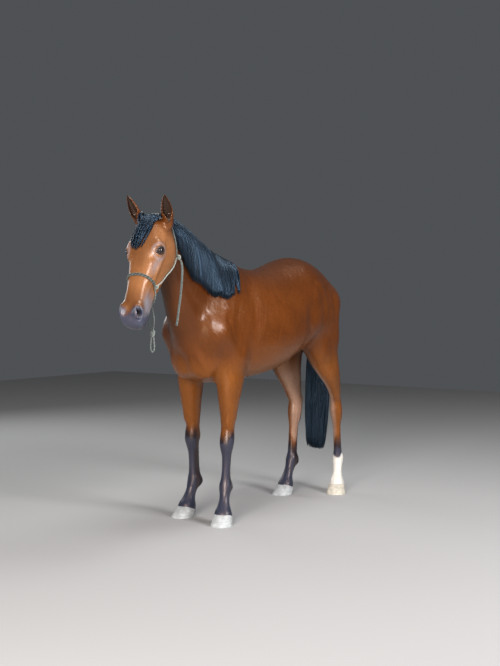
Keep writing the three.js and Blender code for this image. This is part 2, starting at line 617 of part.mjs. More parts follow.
// everything of the leg below the slanted line of the coronet
function belowCoronet(leg) {
  const line = (lx) => 54 + 0.37 * (lx - leg.ankle + 35);
  const outline = [[-90, -90], [230, -90], [230, line(230)], [-90, line(-90)]];
  return prism(outline, -140, 140, ([a, b, c]) => legPoint([a, c, b], leg));
}
const hoofSolid = (leg) => tubeOf([hoofRing(leg, 0, 2.5), hoofRing(leg, 2.5, 0), hoofRing(leg, null, 0)]);

// ---------------------------------------------------------------- build the flesh
const BROWN = 0x7a3c1e, DARK = 0x4a2a1c, BLACK = 0x14161c;
const FLESH_STEP = { trunk: [92, 70, 70], neck: [70, 56, 56], head: [43, 35, 35], leg: [21, 20, 56] };

const legs = Object.entries(LEGS);
const nearLegs = (x, y, z) => min(...legs.map(([, leg]) => legRegion(x, y, z, leg)));
const trunkPart = (x, y, z) => max(flesh(x, y, z), neckSide(x, y, z) - 70, -60 - nearLegs(x, y, z));
const trunkBox = [[-970, -416, 690], [900, 420, 1670]];
let trunk = net(trunkPart, ...trunkBox, FLESH_STEP.trunk).subtract(neckBlock(-GAP));
for (const [name] of legs) trunk = trunk.subtract(legBlock(name, GAP));
node('trunk', trunk, BROWN, 0.42);

const neckPart = (x, y, z) => max(flesh(x, y, z), -neckSide(x, y, z) - 60, headSide(x, y, z) - 50);
const neckBox = [[-340, -295, -500], [830, 295, 350]];
let neck = net(neckPart, ...neckBox, FLESH_STEP.neck, neckPoint);
neck = neck.intersect(neckBlock(0)).subtract(headBlock(-GAP));
for (const e of Object.values(EARS)) neck = neck.subtract(earBlock(e));
node('neck', neck, BROWN, 0.42);

const headPart = (x, y, z) => max(flesh(x, y, z), -headSide(x, y, z) - 40);
const headBox = [[-160, -355, -175], [715, 200, 175]];
let head = net(headPart, ...headBox, FLESH_STEP.head, headPoint);
head = head.intersect(headBlock(0));
for (const e of Object.values(EARS)) head = head.subtract(earBlock(e));
for (const side of [1, -1]) {
  const { c } = eyeFrame(side);
  head = head.subtract(lidOpening(side));
  head = head.subtract(ballSolid(headPoint(c), [1, 1, 1].map(() => EYE_RADIUS + GAP), 12, 8));
}
node('head', head, BROWN, 0.45);
for (const [name, e] of Object.entries(EARS)) node(`${name}_ear`, earSolid(e), BROWN, 0.5);
for (const [name, side] of [['left_eye', 1], ['right_eye', -1]]) {
  node(name, ballSolid(headPoint(eyeFrame(side).c), [1, 1, 1].map(() => EYE_RADIUS), 12, 8), 0x120c0a, 0.08);
}
// the solid without the crumbs that a cut may leave beside it
const mainPiece = (solid) => solid.decompose().sort((a, b) => b.volume() - a.volume())[0];
for (const [name, leg] of legs) {
  const field = (x, y, z) => max(flesh(x, y, z), legRegion(x, y, z, leg) - 25);
  const widen = (z) => 1 + 1.6 * smooth(clamp((z - 520) / 520, 0, 1));   // the grid grows with the leg
  const place = ([a, b, z]) => legPoint([a * widen(z), b * widen(z), z], leg);
  const solid = net(field, [-150, -140, -100], [250, 170, leg.cut[3] + 90], FLESH_STEP.leg, place);
  node(name, mainPiece(solid.intersect(legBlock(name, 0)).subtract(belowCoronet(leg))), DARK, 0.45);
  node(`${name.replace('_leg', '').replace('leg', '')}_hoof`, hoofSolid(leg), 0xb9b4a6, 0.6);
}

// ---------------------------------------------------------------- halter
const ROPE_GREEN = 0x5d6b62;
// a point of the head's frame, laid on the flesh at the given height unless it hangs well clear
function onHead(p, height, reach = 45) {
  const q = headPoint(p);
  return flesh(...q) < reach ? project(flesh, q, height) : q;
}
function ropeSolid(points, wide, steps, sides = 5, high = wide) {
  const curve = new THREE.CatmullRomCurve3(points.map((p) => new THREE.Vector3(...p)), false, 'centripetal');
  const shape = new THREE.Shape(Array.from({ length: sides }, (_, i) => {
    const a = 2 * PI * (i + 0.5) / sides;
    return new THREE.Vector2(high / 2 * cos(a), wide / 2 * sin(a));
  }));
  const g = new THREE.ExtrudeGeometry(shape, { steps, extrudePath: curve, bevelEnabled: false });
  const p = g.attributes.position, pos = [], tri = [];
  for (let i = 0; i < p.count; i += 1) {
    pos.push([p.getX(i), p.getY(i), p.getZ(i)]);
    if (i % 3 === 0) tri.push([i, i + 1, i + 2]);
  }
  return toManifold(pos, tri);
}
const HEIGHT = ROPE / 2 + 4;
const KNOTS = {
  halter_left_knot: { at: onHead([393, -64, 70], 15), r: [13, 11, 12] },
  halter_right_knot: { at: onHead([393, -64, -70], 15), r: [13, 11, 12] },
  halter_tie_knot: { at: onHead([142, -205, 105], 17), r: [13, 13, 16] },
  halter_chin_knot: { at: headPoint([557, -256, 0]), r: [14, 14, 21] },
};
const knot = (name, grow) => ballSolid(KNOTS[name].at, KNOTS[name].r.map((r) => r + grow), 8, 6);
const knotPoint = (name) => KNOTS[name].at;
for (const name of Object.keys(KNOTS)) node(name, knot(name, 0), ROPE_GREEN, 0.8);
const freeOf = (solid, names) => names.reduce((s, name) => s.subtract(knot(name, GAP)), solid);
const mirrored = (points, side) => points.map(([s, d, l]) => [s, d, l * side]);

// room the hair leaves for the ropes that pass through it
const ropeRoom = [knot('halter_tie_knot', 1)];
function strand(name, from, points, to, steps, reach) {
  const start = from ? [knotPoint(from)] : [], end = to ? [knotPoint(to)] : [];
  const route = [...start, ...points.map((p) => onHead(p, HEIGHT, reach)), ...end];
  node(name, freeOf(ropeSolid(route, ROPE, steps), [from, to].filter(Boolean)), ROPE_GREEN, 0.8);
  ropeRoom.push(ropeSolid(route, ROPE + 2, steps));
}
const noseband = (rise) => {
  const half = [[392 - rise, -45, 72], [389 - rise, -8, 72], [385 - rise, 32, 56], [383 - rise, 52, 24]];
  return [...half, ...mirrored(half, -1).reverse()];
};
strand('halter_nose_upper', 'halter_left_knot', noseband(12), 'halter_right_knot', 18);
strand('halter_nose_lower', 'halter_left_knot', noseband(-4), 'halter_right_knot', 18);
const cheek = [[370, -92, 75], [328, -128, 78], [275, -160, 86], [215, -186, 94], [175, -199, 101]];
strand('halter_left_cheek', 'halter_left_knot', cheek, 'halter_tie_knot', 15);
const farCheek = mirrored([...cheek, [142, -205, 105], [85, -178, 106], [45, -140, 104]], -1);
strand('halter_right_cheek', 'halter_right_knot', farCheek, null, 18);
const poll = [[88, -180, 106], [40, -130, 106], [5, -75, 98], [-28, -25, 84], [-46, 15, 58], [-52, 34, 22]];
const overPoll = [...poll, ...mirrored(poll, -1).reverse().slice(0, 4)];
strand('halter_crown', 'halter_tie_knot', overPoll, null, 20, 160);
const jaw = [[420, -106, 66], [438, -134, 58], [458, -160, 46], [504, -208, 20]];
strand('halter_left_jaw', 'halter_left_knot', jaw, 'halter_chin_knot', 10);
strand('halter_right_jaw', 'halter_right_knot', mirrored(jaw, -1), 'halter_chin_knot', 10);

// the loop for a lead hangs under the chin knot
const under = knotPoint('halter_chin_knot');
const loop = [[0, 6, -6], [1, 11, -40], [0, 13, -72], [-1, 8, -92], [0, 0, -99], [1, -8, -92], [0, -13, -72],
  [-1, -11, -40], [0, -6, -6]].map((p) => add(under, p));
node('halter_lead_loop', freeOf(ropeSolid(loop, ROPE, 18), ['halter_chin_knot']), ROPE_GREEN, 0.8);

// the free end of the crown rope, doubled and lying flat, hangs from the tie knot
const tie = knotPoint('halter_tie_knot');
const FREE_END = [
  [0, 0, 0], [-8, 9, -21], [-11, 13, -46], [-12, 14, -71], [-11, 14, -96],
  [-9, 14, -121], [-7, 13, -146], [-4, 13, -171], [-1, 12, -196], [2, 11, -221],
  [6, 10, -246], [10, 9, -271], [14, 8, -296], [18, 7, -321], [22, 6, -346],
  [27, 5, -371],
].map((p) => add(tie, p));
node('halter_free_end', freeOf(ropeSolid(FREE_END, 16, 20, 8, 8), ['halter_tie_knot']), ROPE_GREEN, 0.8);
ropeRoom.push(ropeSolid(FREE_END, 18, 20, 8, 10));

// ---------------------------------------------------------------- hair masses
// the flesh a little grown, which hair keeps clear of
const lift = (field, by) => (x, y, z) => field(x, y, z) - by;
const hairRoom = [
  net(lift(trunkPart, 4), ...trunkBox, FLESH_STEP.trunk),
  net(lift(neckPart, 6), ...neckBox, FLESH_STEP.neck, neckPoint),
  net(lift(headPart, 5), ...headBox, FLESH_STEP.head, headPoint),
  ...ropeRoom,
];
const hair = (name, solid) => node(name, hairRoom.reduce((s, r) => s.subtract(r), solid), BLACK, 0.5);

function outward(p) {
  const e = 4;
  return unit([0, 1, 2].map((k) => {
    const a = [...p], b = [...p];
    a[k] += e; b[k] -= e;
    return flesh(...a) - flesh(...b);
  }));
}
// closed slab over a grid of points on the flesh, sunk below it, which the flesh then cuts
function slab(grid, thick) {
  const nu = grid.length, nv = grid[0].length, positions = [], triangles = [];
  grid.forEach((column, i) => column.forEach((p, j) => {
    const n = outward(p);
    positions.push(add(p, n, -6), add(p, n, COAT + thick(i / (nu - 1), j / (nv - 1))));
  }));
  const at = (i, j, k) => (i * nv + j) * 2 + k;
  for (let i = 0; i < nu - 1; i += 1) for (let j = 0; j < nv - 1; j += 1) {
    const [a, b, c, d] = [[i, j], [i + 1, j], [i + 1, j + 1], [i, j + 1]];
    triangles.push([at(...a, 1), at(...b, 1), at(...c, 1)], [at(...a, 1), at(...c, 1), at(...d, 1)]);
    triangles.push([at(...a, 0), at(...c, 0), at(...b, 0)], [at(...a, 0), at(...d, 0), at(...c, 0)]);
  }
  const edge = (a, b) => triangles.push(
    [at(...a, 0), at(...b, 0), at(...b, 1)], [at(...a, 0), at(...b, 1), at(...a, 1)]);
  for (let i = 0; i < nu - 1; i += 1) {
    edge([i, 0], [i + 1, 0]);
    edge([i + 1, nv - 1], [i, nv - 1]);
  }
  for (let j = 0; j < nv - 1; j += 1) {
    edge([0, j + 1], [0, j]);
    edge([nu - 1, j], [nu - 1, j + 1]);
  }
  return toManifold(positions, triangles);
}

// the crest of the neck, from the poll back to the withers, and the mane's length along it
const CREST = [
  [0, 1020, 88, 1800, 170],
  [0.2, 900, 60, 1790, 330],
  [0.4, 775, 31, 1720, 370],
  [0.6, 660, 14, 1660, 385],
  [0.8, 545, 6, 1600, 360],
  [1, 365, 0, 1545, 335],
];
function crestPoint(u) {
  const [x, y, z, drop] = rowAt(CREST, u);
  return { p: project(flesh, [x, y, z]), drop };
}
// a hair's way down the left side: over the crest and then with gravity, on the flesh
function fall(p, drop, count, back) {
  const way = [p];
  for (let j = 1; j < count; j += 1) {
    const n = outward(p), down = [back, 0.9 * exp(-3 * j / count), -1];
    p = project(flesh, add(p, unit(add(down, n, -dot(down, n))), drop / (count - 1)));
    way.push(p);
  }
  return way;
}
const MANE_COLUMNS = 12, MANE_ROWS = 6;
const maneGrid = [];
for (let i = 0; i < MANE_COLUMNS; i += 1) {
  const u = i / (MANE_COLUMNS - 1), { p, drop } = crestPoint(u);
  maneGrid.push(fall(p, drop, MANE_ROWS, -0.10 - 0.35 * max(0, 1 - u / 0.35) + 0.85 * max(0, u - 0.6)));
}
const maneEnds = (u) => min(1, 5 * u + 0.3, 5 * (1 - u) + 0.3);
const maneThick = (u, v) => 9 + 21 * sin(PI * clamp(0.18 + 0.72 * v, 0, 1)) * maneEnds(u);
hair('mane', slab(maneGrid, maneThick));

const FORELOCK_COLUMNS = 6, FORELOCK_ROWS = 6;
const lockGrid = [];
for (let i = 0; i < FORELOCK_COLUMNS; i += 1) {
  const u = i / (FORELOCK_COLUMNS - 1), column = [];
  for (let j = 0; j < FORELOCK_ROWS; j += 1) {
    const v = j / (FORELOCK_ROWS - 1);
    const left = 44 + 30 * v - 72 * v * v, right = -36 - 150 * v + 141 * v * v;
    column.push(project(flesh, headPoint([-8 + 262 * v, 70, left + (right - left) * u])));
  }
  lockGrid.push(column);
}
const lockThick = (u, v) => 7 + 12 * sin(PI * clamp(0.25 + 0.6 * v, 0, 1)) * (0.35 + 0.65 * sin(PI * u));
hair('forelock', slab(lockGrid, lockThick).subtract(earBlock(EARS.right, 34)));

function tailRing([x, y, z, thick, wide]) {
  return Array.from({ length: 14 }, (_, i) => {
    const a = 2 * PI * i / 14;
    return [x + thick * cos(a), y + wide * sin(a), z + (z > 1340 ? 24 * cos(a) : 0)];
  });
}
hair('tail', tubeOf(TAIL.map(tailRing)));

// ---------------------------------------------------------------- origin: middle of the floor
const box = new THREE.Box3();
object.children.filter((m) => m.name !== 'halter_free_end').forEach((m) => box.expandByObject(m));
const shift = new THREE.Vector3(-(box.min.x + box.max.x) / 2, -(box.min.y + box.max.y) / 2, -box.min.z);
for (const mesh of object.children) mesh.geometry.translate(shift.x, shift.y, shift.z);

export default object;
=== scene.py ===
import bpy
import math
import numpy as np
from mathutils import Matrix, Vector


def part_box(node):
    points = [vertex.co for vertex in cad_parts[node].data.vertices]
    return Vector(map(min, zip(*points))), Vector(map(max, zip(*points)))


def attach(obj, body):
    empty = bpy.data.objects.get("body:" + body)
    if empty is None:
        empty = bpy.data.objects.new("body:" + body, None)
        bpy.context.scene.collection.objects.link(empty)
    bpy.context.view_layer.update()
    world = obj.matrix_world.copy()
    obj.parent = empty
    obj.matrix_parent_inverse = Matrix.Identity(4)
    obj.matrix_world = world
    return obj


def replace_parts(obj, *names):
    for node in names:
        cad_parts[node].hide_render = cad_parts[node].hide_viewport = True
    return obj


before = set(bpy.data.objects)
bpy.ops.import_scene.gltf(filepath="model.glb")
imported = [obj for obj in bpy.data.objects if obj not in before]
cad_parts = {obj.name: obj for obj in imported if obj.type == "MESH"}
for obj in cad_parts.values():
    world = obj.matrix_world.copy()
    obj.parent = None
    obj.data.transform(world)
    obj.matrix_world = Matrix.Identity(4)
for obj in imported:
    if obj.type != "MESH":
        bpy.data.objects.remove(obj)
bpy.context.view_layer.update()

# ---------------------------------------------------------------- camera
# At a standing person's chest height, in front of the horse and to its left, with a long
# lens. Everything below is worked out in the horse's own coordinates (metres, x forward,
# y to its left, z up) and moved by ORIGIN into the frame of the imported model.
def vec(*v):
    return np.array(v, float)

def unit(v):
    v = np.asarray(v, float)
    return v / np.linalg.norm(v, axis=-1, keepdims=True)

# the head's own frame: s runs down the face from the poll, d out of the forehead, l to the left
POLL = vec(1.085, 0.1, 1.758)
PITCH, YAW, ROLL = np.radians([61, 14, -3])

def head_axes():
    s, d, l = vec(np.cos(PITCH), 0, -np.sin(PITCH)), vec(np.sin(PITCH), 0, np.cos(PITCH)), vec(0, 1, 0)
    d, l = np.cos(ROLL) * d + np.sin(ROLL) * l, np.cos(ROLL) * l - np.sin(ROLL) * d
    turn = np.array([[np.cos(YAW), -np.sin(YAW), 0], [np.sin(YAW), np.cos(YAW), 0], [0, 0, 1]])
    return np.array([turn @ s, turn @ d, turn @ l])

HEAD_AXES = head_axes()

FACE_FROM, FACE_LONG = 0.3, 1.075      # below the eyes the face is drawn out by this much

def from_head(points):
    p = np.array(points, float)
    p[..., 0] += np.maximum(p[..., 0] - FACE_FROM, 0) * (FACE_LONG - 1)
    return POLL + p @ HEAD_AXES

def to_head(points):
    p = (np.asarray(points, float) - POLL) @ HEAD_AXES.T
    p[..., 0] -= np.maximum(p[..., 0] - FACE_FROM, 0) * (1 - 1 / FACE_LONG)
    return p

EYE = vec(0.224, 0.012, 0.088)
ORIGIN = np.mean(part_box("left_eye"), axis=0) - from_head(EYE)

camera = bpy.data.objects.new("camera", bpy.data.cameras.new("camera"))
bpy.context.scene.collection.objects.link(camera)
camera.location = vec(5.91, 4.12, 1.36) + ORIGIN
LOOK_YAW, LOOK_PITCH = np.radians([-144.9, -2.1])
look = Vector((math.cos(LOOK_YAW) * math.cos(LOOK_PITCH), math.sin(LOOK_YAW) * math.cos(LOOK_PITCH),
               math.sin(LOOK_PITCH)))
camera.rotation_euler = look.to_track_quat("-Z", "Y").to_euler()
camera.data.sensor_fit = "AUTO"
camera.data.sensor_width = 36
camera.data.lens = 62.6
bpy.context.scene.camera = camera

# ---------------------------------------------------------------- the halter's free end
# The crown rope of the halter is tied behind the left eye, and its doubled end hangs from
# that knot: two strands of braided cord side by side, limp, about a third of a metre.
def make_mesh(name, points, faces, smooth=True):
    """A finished piece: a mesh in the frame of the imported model."""
    mesh = bpy.data.meshes.new(name)
    mesh.from_pydata((np.asarray(points) + ORIGIN).tolist(), [], [list(map(int, f)) for f in faces])
    mesh.validate()
    mesh.polygons.foreach_set("use_smooth", np.full(len(mesh.polygons), smooth))
    mesh.update()
    piece = bpy.data.objects.new(name, mesh)
    bpy.context.scene.collection.objects.link(piece)
    return piece

def smooth_curve(points, spacing):
    """Points at even spacing on the Catmull-Rom curve through the given ones."""
    p = np.asarray(points, float)
    p = np.vstack([2 * p[0] - p[1], p, 2 * p[-1] - p[-2]])
    fine = []
    for a, b, c, d in zip(p[:-3], p[1:-2], p[2:-1], p[3:]):
        t = np.linspace(0, 1, 12, endpoint=False)[:, None]
        fine.append(0.5 * (2 * b + (c - a) * t + (2 * a - 5 * b + 4 * c - d) * t ** 2
                           + (3 * b - a - 3 * c + d) * t ** 3))
    fine = np.vstack(fine + [p[-2:-1]])
    length = np.r_[0, np.cumsum(np.linalg.norm(np.diff(fine, axis=0), axis=1))]
    at = np.linspace(0, length[-1], max(3, int(round(length[-1] / spacing)) + 1))
    return np.stack([np.interp(at, length, fine[:, k]) for k in range(3)], 1)

def frames_along(line, start_side):
    """Tangent, side and third direction at each point, turned as little as possible."""
    tangent = unit(np.gradient(line, axis=0))
    side = np.empty_like(line)
    s = vec(*start_side)
    for i, t in enumerate(tangent):
        s = unit(s - t * (s @ t))
        side[i] = s
    return tangent, side, np.cross(tangent, side)

def tube(line, radius, count, start_side=(0, 0, 1), turn=0.0):
    """A closed round tube with pointed ends along a line; radius may be a list."""
    _, side, third = frames_along(line, start_side)
    radius = np.broadcast_to(radius, len(line))[:, None, None]
    a = 2 * np.pi * np.arange(count) / count + turn
    ring = np.cos(a)[None, :, None] * side[:, None] + np.sin(a)[None, :, None] * third[:, None]
    points = (line[:, None] + ring * radius).reshape(-1, 3)
    return np.vstack([points, line[:1], line[-1:]]), tube_faces(len(line), count)

def tube_faces(rows, count):
    i, j = np.meshgrid(np.arange(rows - 1), np.arange(count), indexing="ij")
    a, b = i * count + j, i * count + (j + 1) % count
    sides = np.stack([a, b, b + count, a + count], -1).reshape(-1, 4).tolist()
    first, last, end = rows * count, rows * count + 1, (rows - 1) * count
    caps = [[first, (k + 1) % count, k] for k in range(count)]
    return sides + caps + [[last, end + k, end + (k + 1) % count] for k in range(count)]

def colour_layer(piece, rgb):
    layer = piece.data.color_attributes.new("paint", "FLOAT_COLOR", "POINT")
    layer.data.foreach_set("color", np.hstack([rgb, np.ones((len(rgb), 1))]).ravel().astype(np.float32))

def add(tree, kind, inputs=None, **settings):
    """A shader node, with sockets linked to other nodes' outputs or set to values."""
    new = tree.nodes.new(kind)
    for key, value in settings.items():
        setattr(new, key, value)
    for key, value in (inputs or {}).items():
        if isinstance(value, bpy.types.NodeSocket):
            tree.links.new(value, new.inputs[key])
        else:
            new.inputs[key].default_value = value
    return new

def new_material(name, **constants):
    """A material whose shader has its constant values set on its own sockets."""
    material = bpy.data.materials.new(name)
    material.use_nodes = True
    tree = material.node_tree
    shader = tree.nodes["Principled BSDF"]
    for key, value in constants.items():
        shader.inputs[key.replace("_", " ")].default_value = value
    return material, tree, shader

def attribute(tree, name):
    return add(tree, "ShaderNodeAttribute", attribute_name=name)

def scaled_colour(tree, colour, factor):
    return add(tree, "ShaderNodeVectorMath", {0: colour, 1: factor}, operation="MULTIPLY").outputs[0]

def map_range(tree, value, lo, hi, to_lo, to_hi):
    return add(tree, "ShaderNodeMapRange", {"Value": value, "From Min": lo, "From Max": hi,
                                            "To Min": to_lo, "To Max": to_hi}).outputs[0]

def joined(parts):
    points, faces, base = [], [], 0
    for p, f in parts:
        points.append(p)
        faces += [[v + base for v in face] for face in f]
        base += len(p)
    return np.vstack(points), faces

ROPE = 0.007
PLAIT = 0.019        # length in which a yarn goes once round the cord

YARNS = 8

def braid(line, start_side=(0, 0, 1)):
    """A cord plaited of eight yarns, four turning each way and passing over and under."""
    _, side, third = frames_along(line, start_side)
    along = np.r_[0, np.cumsum(np.linalg.norm(np.diff(line, axis=0), axis=1))]
    parts = []
    for k in range(YARNS):
        way = 1 if k % 2 else -1
        a = way * 2 * np.pi * along / PLAIT + 4 * np.pi * (k // 2) / YARNS
        out = ROPE / 2 * (0.62 + 0.1 * way * np.cos(YARNS * np.pi * along / PLAIT))
        yarn = line + out[:, None] * (np.cos(a)[:, None] * side + np.sin(a)[:, None] * third)
        thick = np.full(len(line), ROPE * 0.19)
        thick[[0, -1]] *= 0.4
        parts.append(tube(yarn, thick, 5))
    return joined(parts)

# cords are plaited of dark green yarns, some with lighter ones among them, dulled by dust
DARK_YARN, GREY_YARN, LIGHT_YARN = vec(0.04, 0.062, 0.055), vec(0.155, 0.185, 0.165), vec(0.36, 0.38, 0.33)
DARK_CORD = [DARK_YARN] * 6 + [GREY_YARN] * 2
GREY_CORD = [GREY_YARN] * 5 + [DARK_YARN] * 2 + [LIGHT_YARN]
LIGHT_CORD = [LIGHT_YARN] * 6 + [GREY_YARN] * 2

rope_material, tree, shader = new_material("plaited cord", Roughness=0.72, Sheen_Weight=0.25, Sheen_Roughness=0.5)
place = add(tree, "ShaderNodeTexCoord").outputs["Object"]
fibres = add(tree, "ShaderNodeTexNoise", {"Vector": place, "Scale": 1500.0, "Detail": 2.0}).outputs[0]
dust = add(tree, "ShaderNodeTexNoise", {"Vector": place, "Scale": 45.0, "Detail": 3.0}).outputs[0]
dusty = add(tree, "ShaderNodeMath", {0: map_range(tree, fibres, 0.3, 0.7, 0.75, 1.25),
                                     1: map_range(tree, dust, 0.3, 0.7, 0.8, 1.2)}, operation="MULTIPLY").outputs[0]
tree.links.new(scaled_colour(tree, attribute(tree, "paint").outputs["Color"], dusty), shader.inputs["Base Color"])
bump = add(tree, "ShaderNodeBump", {"Strength": 0.5, "Distance": 0.0002, "Height": fibres})
tree.links.new(bump.outputs[0], shader.inputs["Normal"])

def cord_piece(name, braids, tones):
    """Plaited cords, each with the tones of its eight yarns, as one piece in the rope material."""
    points, faces = joined(braids)
    piece = make_mesh(name, points, faces)
    colour_layer(piece, np.vstack([np.repeat(tone, len(b[0]) // YARNS, axis=0) for b, tone in zip(braids, tones)]))
    piece.data.materials.append(rope_material)
    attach(piece, "root")
    return piece

TIE = np.mean(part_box("halter_tie_knot"), axis=0) - ORIGIN
# the way of the free end's middle, from the knot down
FREE_END = TIE + np.array([
    (0, 0, 0), (-0.008, 0.009, -0.021), (-0.011, 0.013, -0.046), (-0.012, 0.014, -0.071),
    (-0.011, 0.014, -0.096), (-0.009, 0.014, -0.121), (-0.007, 0.013, -0.146), (-0.004, 0.013, -0.171),
    (-0.001, 0.012, -0.196), (0.002, 0.011, -0.221), (0.006, 0.01, -0.246), (0.01, 0.009, -0.271),
    (0.014, 0.008, -0.296), (0.018, 0.007, -0.321), (0.022, 0.006, -0.346), (0.027, 0.005, -0.371),
])
free_way = smooth_curve(FREE_END, 0.0025)
free_way = free_way[np.linalg.norm(free_way - TIE, axis=1) > 0.016]
_, free_side, _ = frames_along(free_way, (1, 0, 0))
strands = [braid(free_way + free_side * x, (1, 0, 0)) for x in (-0.0042, 0.0042)]
free_end = cord_piece("free_rope_end", strands, [GREY_CORD, DARK_CORD])
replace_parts(free_end, "halter_free_end")

# ---------------------------------------------------------------- the horse's flesh
# A light riding horse's body, as a distance function: cross-sections along the trunk,
# neck, head and limbs, with the muscles, ridges and hollows that show under a thin skin.
def spline(s, table):
    """Columns of a table, smoothly interpolated at s over its first column."""
    t = np.asarray(table, float)
    x, y = t[:, 0], t[:, 1:]
    h = np.diff(x)
    slope = np.diff(y, axis=0) / h[:, None]
    m = np.empty_like(y)
    m[0], m[-1] = slope[0], slope[-1]
    m[1:-1] = (slope[:-1] * h[1:, None] + slope[1:] * h[:-1, None]) / (h[1:] + h[:-1])[:, None]
    s = np.clip(s, x[0], x[-1])
    i = np.clip(np.searchsorted(x, s) - 1, 0, len(x) - 2)
    u = (s - x[i]) / h[i]
    u2, u3 = u * u, u * u * u
    a, b, c, e = 2 * u3 - 3 * u2 + 1, (u3 - 2 * u2 + u) * h[i], 3 * u2 - 2 * u3, (u3 - u2) * h[i]
    return [a * y[i, k] + b * m[i, k] + c * y[i + 1, k] + e * m[i + 1, k] for k in range(y.shape[1])]

def join(a, b, k):
    """Union of two shapes, rounded over a width k."""
    h = np.maximum(k - np.abs(a - b), 0) / k
    return np.minimum(a, b) - h * h * k * 0.25

def carve(a, b, k):
    return -join(-a, b, k)

def smooth(t):
    t = np.clip(t, 0, 1)
    return t * t * (3 - 2 * t)

def loft(s, v, w, table, cap0, cap1):
    """Rows: s, centre in v and w, half width, up, down, and the roundness up and down."""
    t = np.asarray(table, float)
    cv, cw, half, up, down, n_up, n_down = spline(s, t)
    past_end, before = np.maximum(s - t[-1, 0], 0), np.maximum(t[0, 0] - s, 0)
    over, length = past_end / cap1 + before / cap0, past_end + before
    dv, dw = v - cv, w - cw
    hw, n = np.where(dw > 0, up, down), np.where(dw > 0, n_up, n_down)
    level = (np.abs(dv / half) ** n + np.abs(dw / hw) ** n + over ** n) ** (1 / n) + 1e-6
    away = np.sqrt(dv * dv + dw * dw + length * length) + 1e-6
    return (level - 1) * np.clip(away / level, np.minimum(half, hw) * 0.5, None)

def ball(x, y, z, c, r):
    dx, dy, dz = x - c[0], y - c[1], z - c[2]
    level = np.sqrt((dx / r[0]) ** 2 + (dy / r[1]) ** 2 + (dz / r[2]) ** 2) + 1e-6
    slope = np.sqrt((dx / r[0] ** 2) ** 2 + (dy / r[1] ** 2) ** 2 + (dz / r[2] ** 2) ** 2) + 1e-6
    return np.where(level > 0.3, level * (level - 1) / slope, (level - 1) * min(r))

def muscle(x, y, z, a, b, ra, rb, flat=1.0):
    """A round bar from a to b, its radius going from ra to rb, flattened from side to side."""
    a, b = vec(*a), vec(*b)
    px, py, pz = x - a[0], (y - a[1]) / flat, z - a[2]
    ab = (b - a) / vec(1, flat, 1)
    t = np.clip((px * ab[0] + py * ab[1] + pz * ab[2]) / (ab @ ab), 0, 1)
    r = ra + (rb - ra) * t * t * (3 - 2 * t)
    return (np.sqrt((px - t * ab[0]) ** 2 + (py - t * ab[1]) ** 2 + (pz - t * ab[2]) ** 2) - r) * flat

def line_distance(x, y, z, points):
    best = np.inf
    for a, b in zip(np.array(points[:-1], float), np.array(points[1:], float)):
        ab = b - a
        t = np.clip(((x - a[0]) * ab[0] + (y - a[1]) * ab[1] + (z - a[2]) * ab[2]) / (ab @ ab), 0, 1)
        best = np.minimum(best, (x - a[0] - t * ab[0]) ** 2 + (y - a[1] - t * ab[1]) ** 2
                          + (z - a[2] - t * ab[2]) ** 2)
    return np.sqrt(best)

def crease(x, y, z, points, width, depth):
    return depth * np.exp(-(line_distance(x, y, z, points) / width) ** 2)

# trunk: x, middle y and z, half width, up, down, roundness up and down
TRUNK = [
    (-0.79, 0, 1.36, 0.036, 0.044, 0.045, 2, 2), (-0.74, 0, 1.335, 0.08, 0.1, 0.09, 2, 2),
    (-0.66, 0, 1.275, 0.16, 0.206, 0.15, 2.1, 2.1), (-0.57, 0, 1.225, 0.22, 0.302, 0.185, 2.2, 2.1),
    (-0.47, 0, 1.21, 0.246, 0.352, 0.215, 2.2, 2.1), (-0.36, 0, 1.2, 0.258, 0.372, 0.24, 2.2, 2.1),
    (-0.25, 0, 1.165, 0.268, 0.38, 0.245, 2.3, 2.1), (-0.12, 0, 1.125, 0.28, 0.384, 0.25, 2.2, 2.1),
    (0.02, 0, 1.105, 0.287, 0.384, 0.26, 2.1, 2.1), (0.16, 0, 1.1, 0.276, 0.396, 0.272, 1.95, 2.1),
    (0.3, 0, 1.1, 0.248, 0.421, 0.28, 1.85, 2.1), (0.42, 0, 1.11, 0.218, 0.422, 0.29, 1.75, 2.2),
    (0.55, 0, 1.11, 0.185, 0.338, 0.285, 1.9, 2.1), (0.66, 0, 1.1, 0.13, 0.24, 0.225, 2, 2),
]
# neck, along its own axis: the same columns
NECK_BASE, NECK_TOP = vec(0.52, 0, 1.23), vec(1.01, 0.06, 1.672)
NECK = [
    (-0.1, 0, 0, 0.135, 0.24, 0.28, 2, 2.2), (0, 0, 0, 0.142, 0.272, 0.3, 1.9, 2.1),
    (0.12, 0, 0, 0.128, 0.3, 0.29, 1.8, 2.1), (0.3, 0, 0, 0.1, 0.245, 0.216, 1.8, 2.2),
    (0.45, 0, 0, 0.084, 0.196, 0.15, 1.9, 2.2), (0.58, 0, 0, 0.074, 0.142, 0.112, 2, 2.2),
    (0.66, 0, 0, 0.06, 0.092, 0.095, 2, 2.2),
]
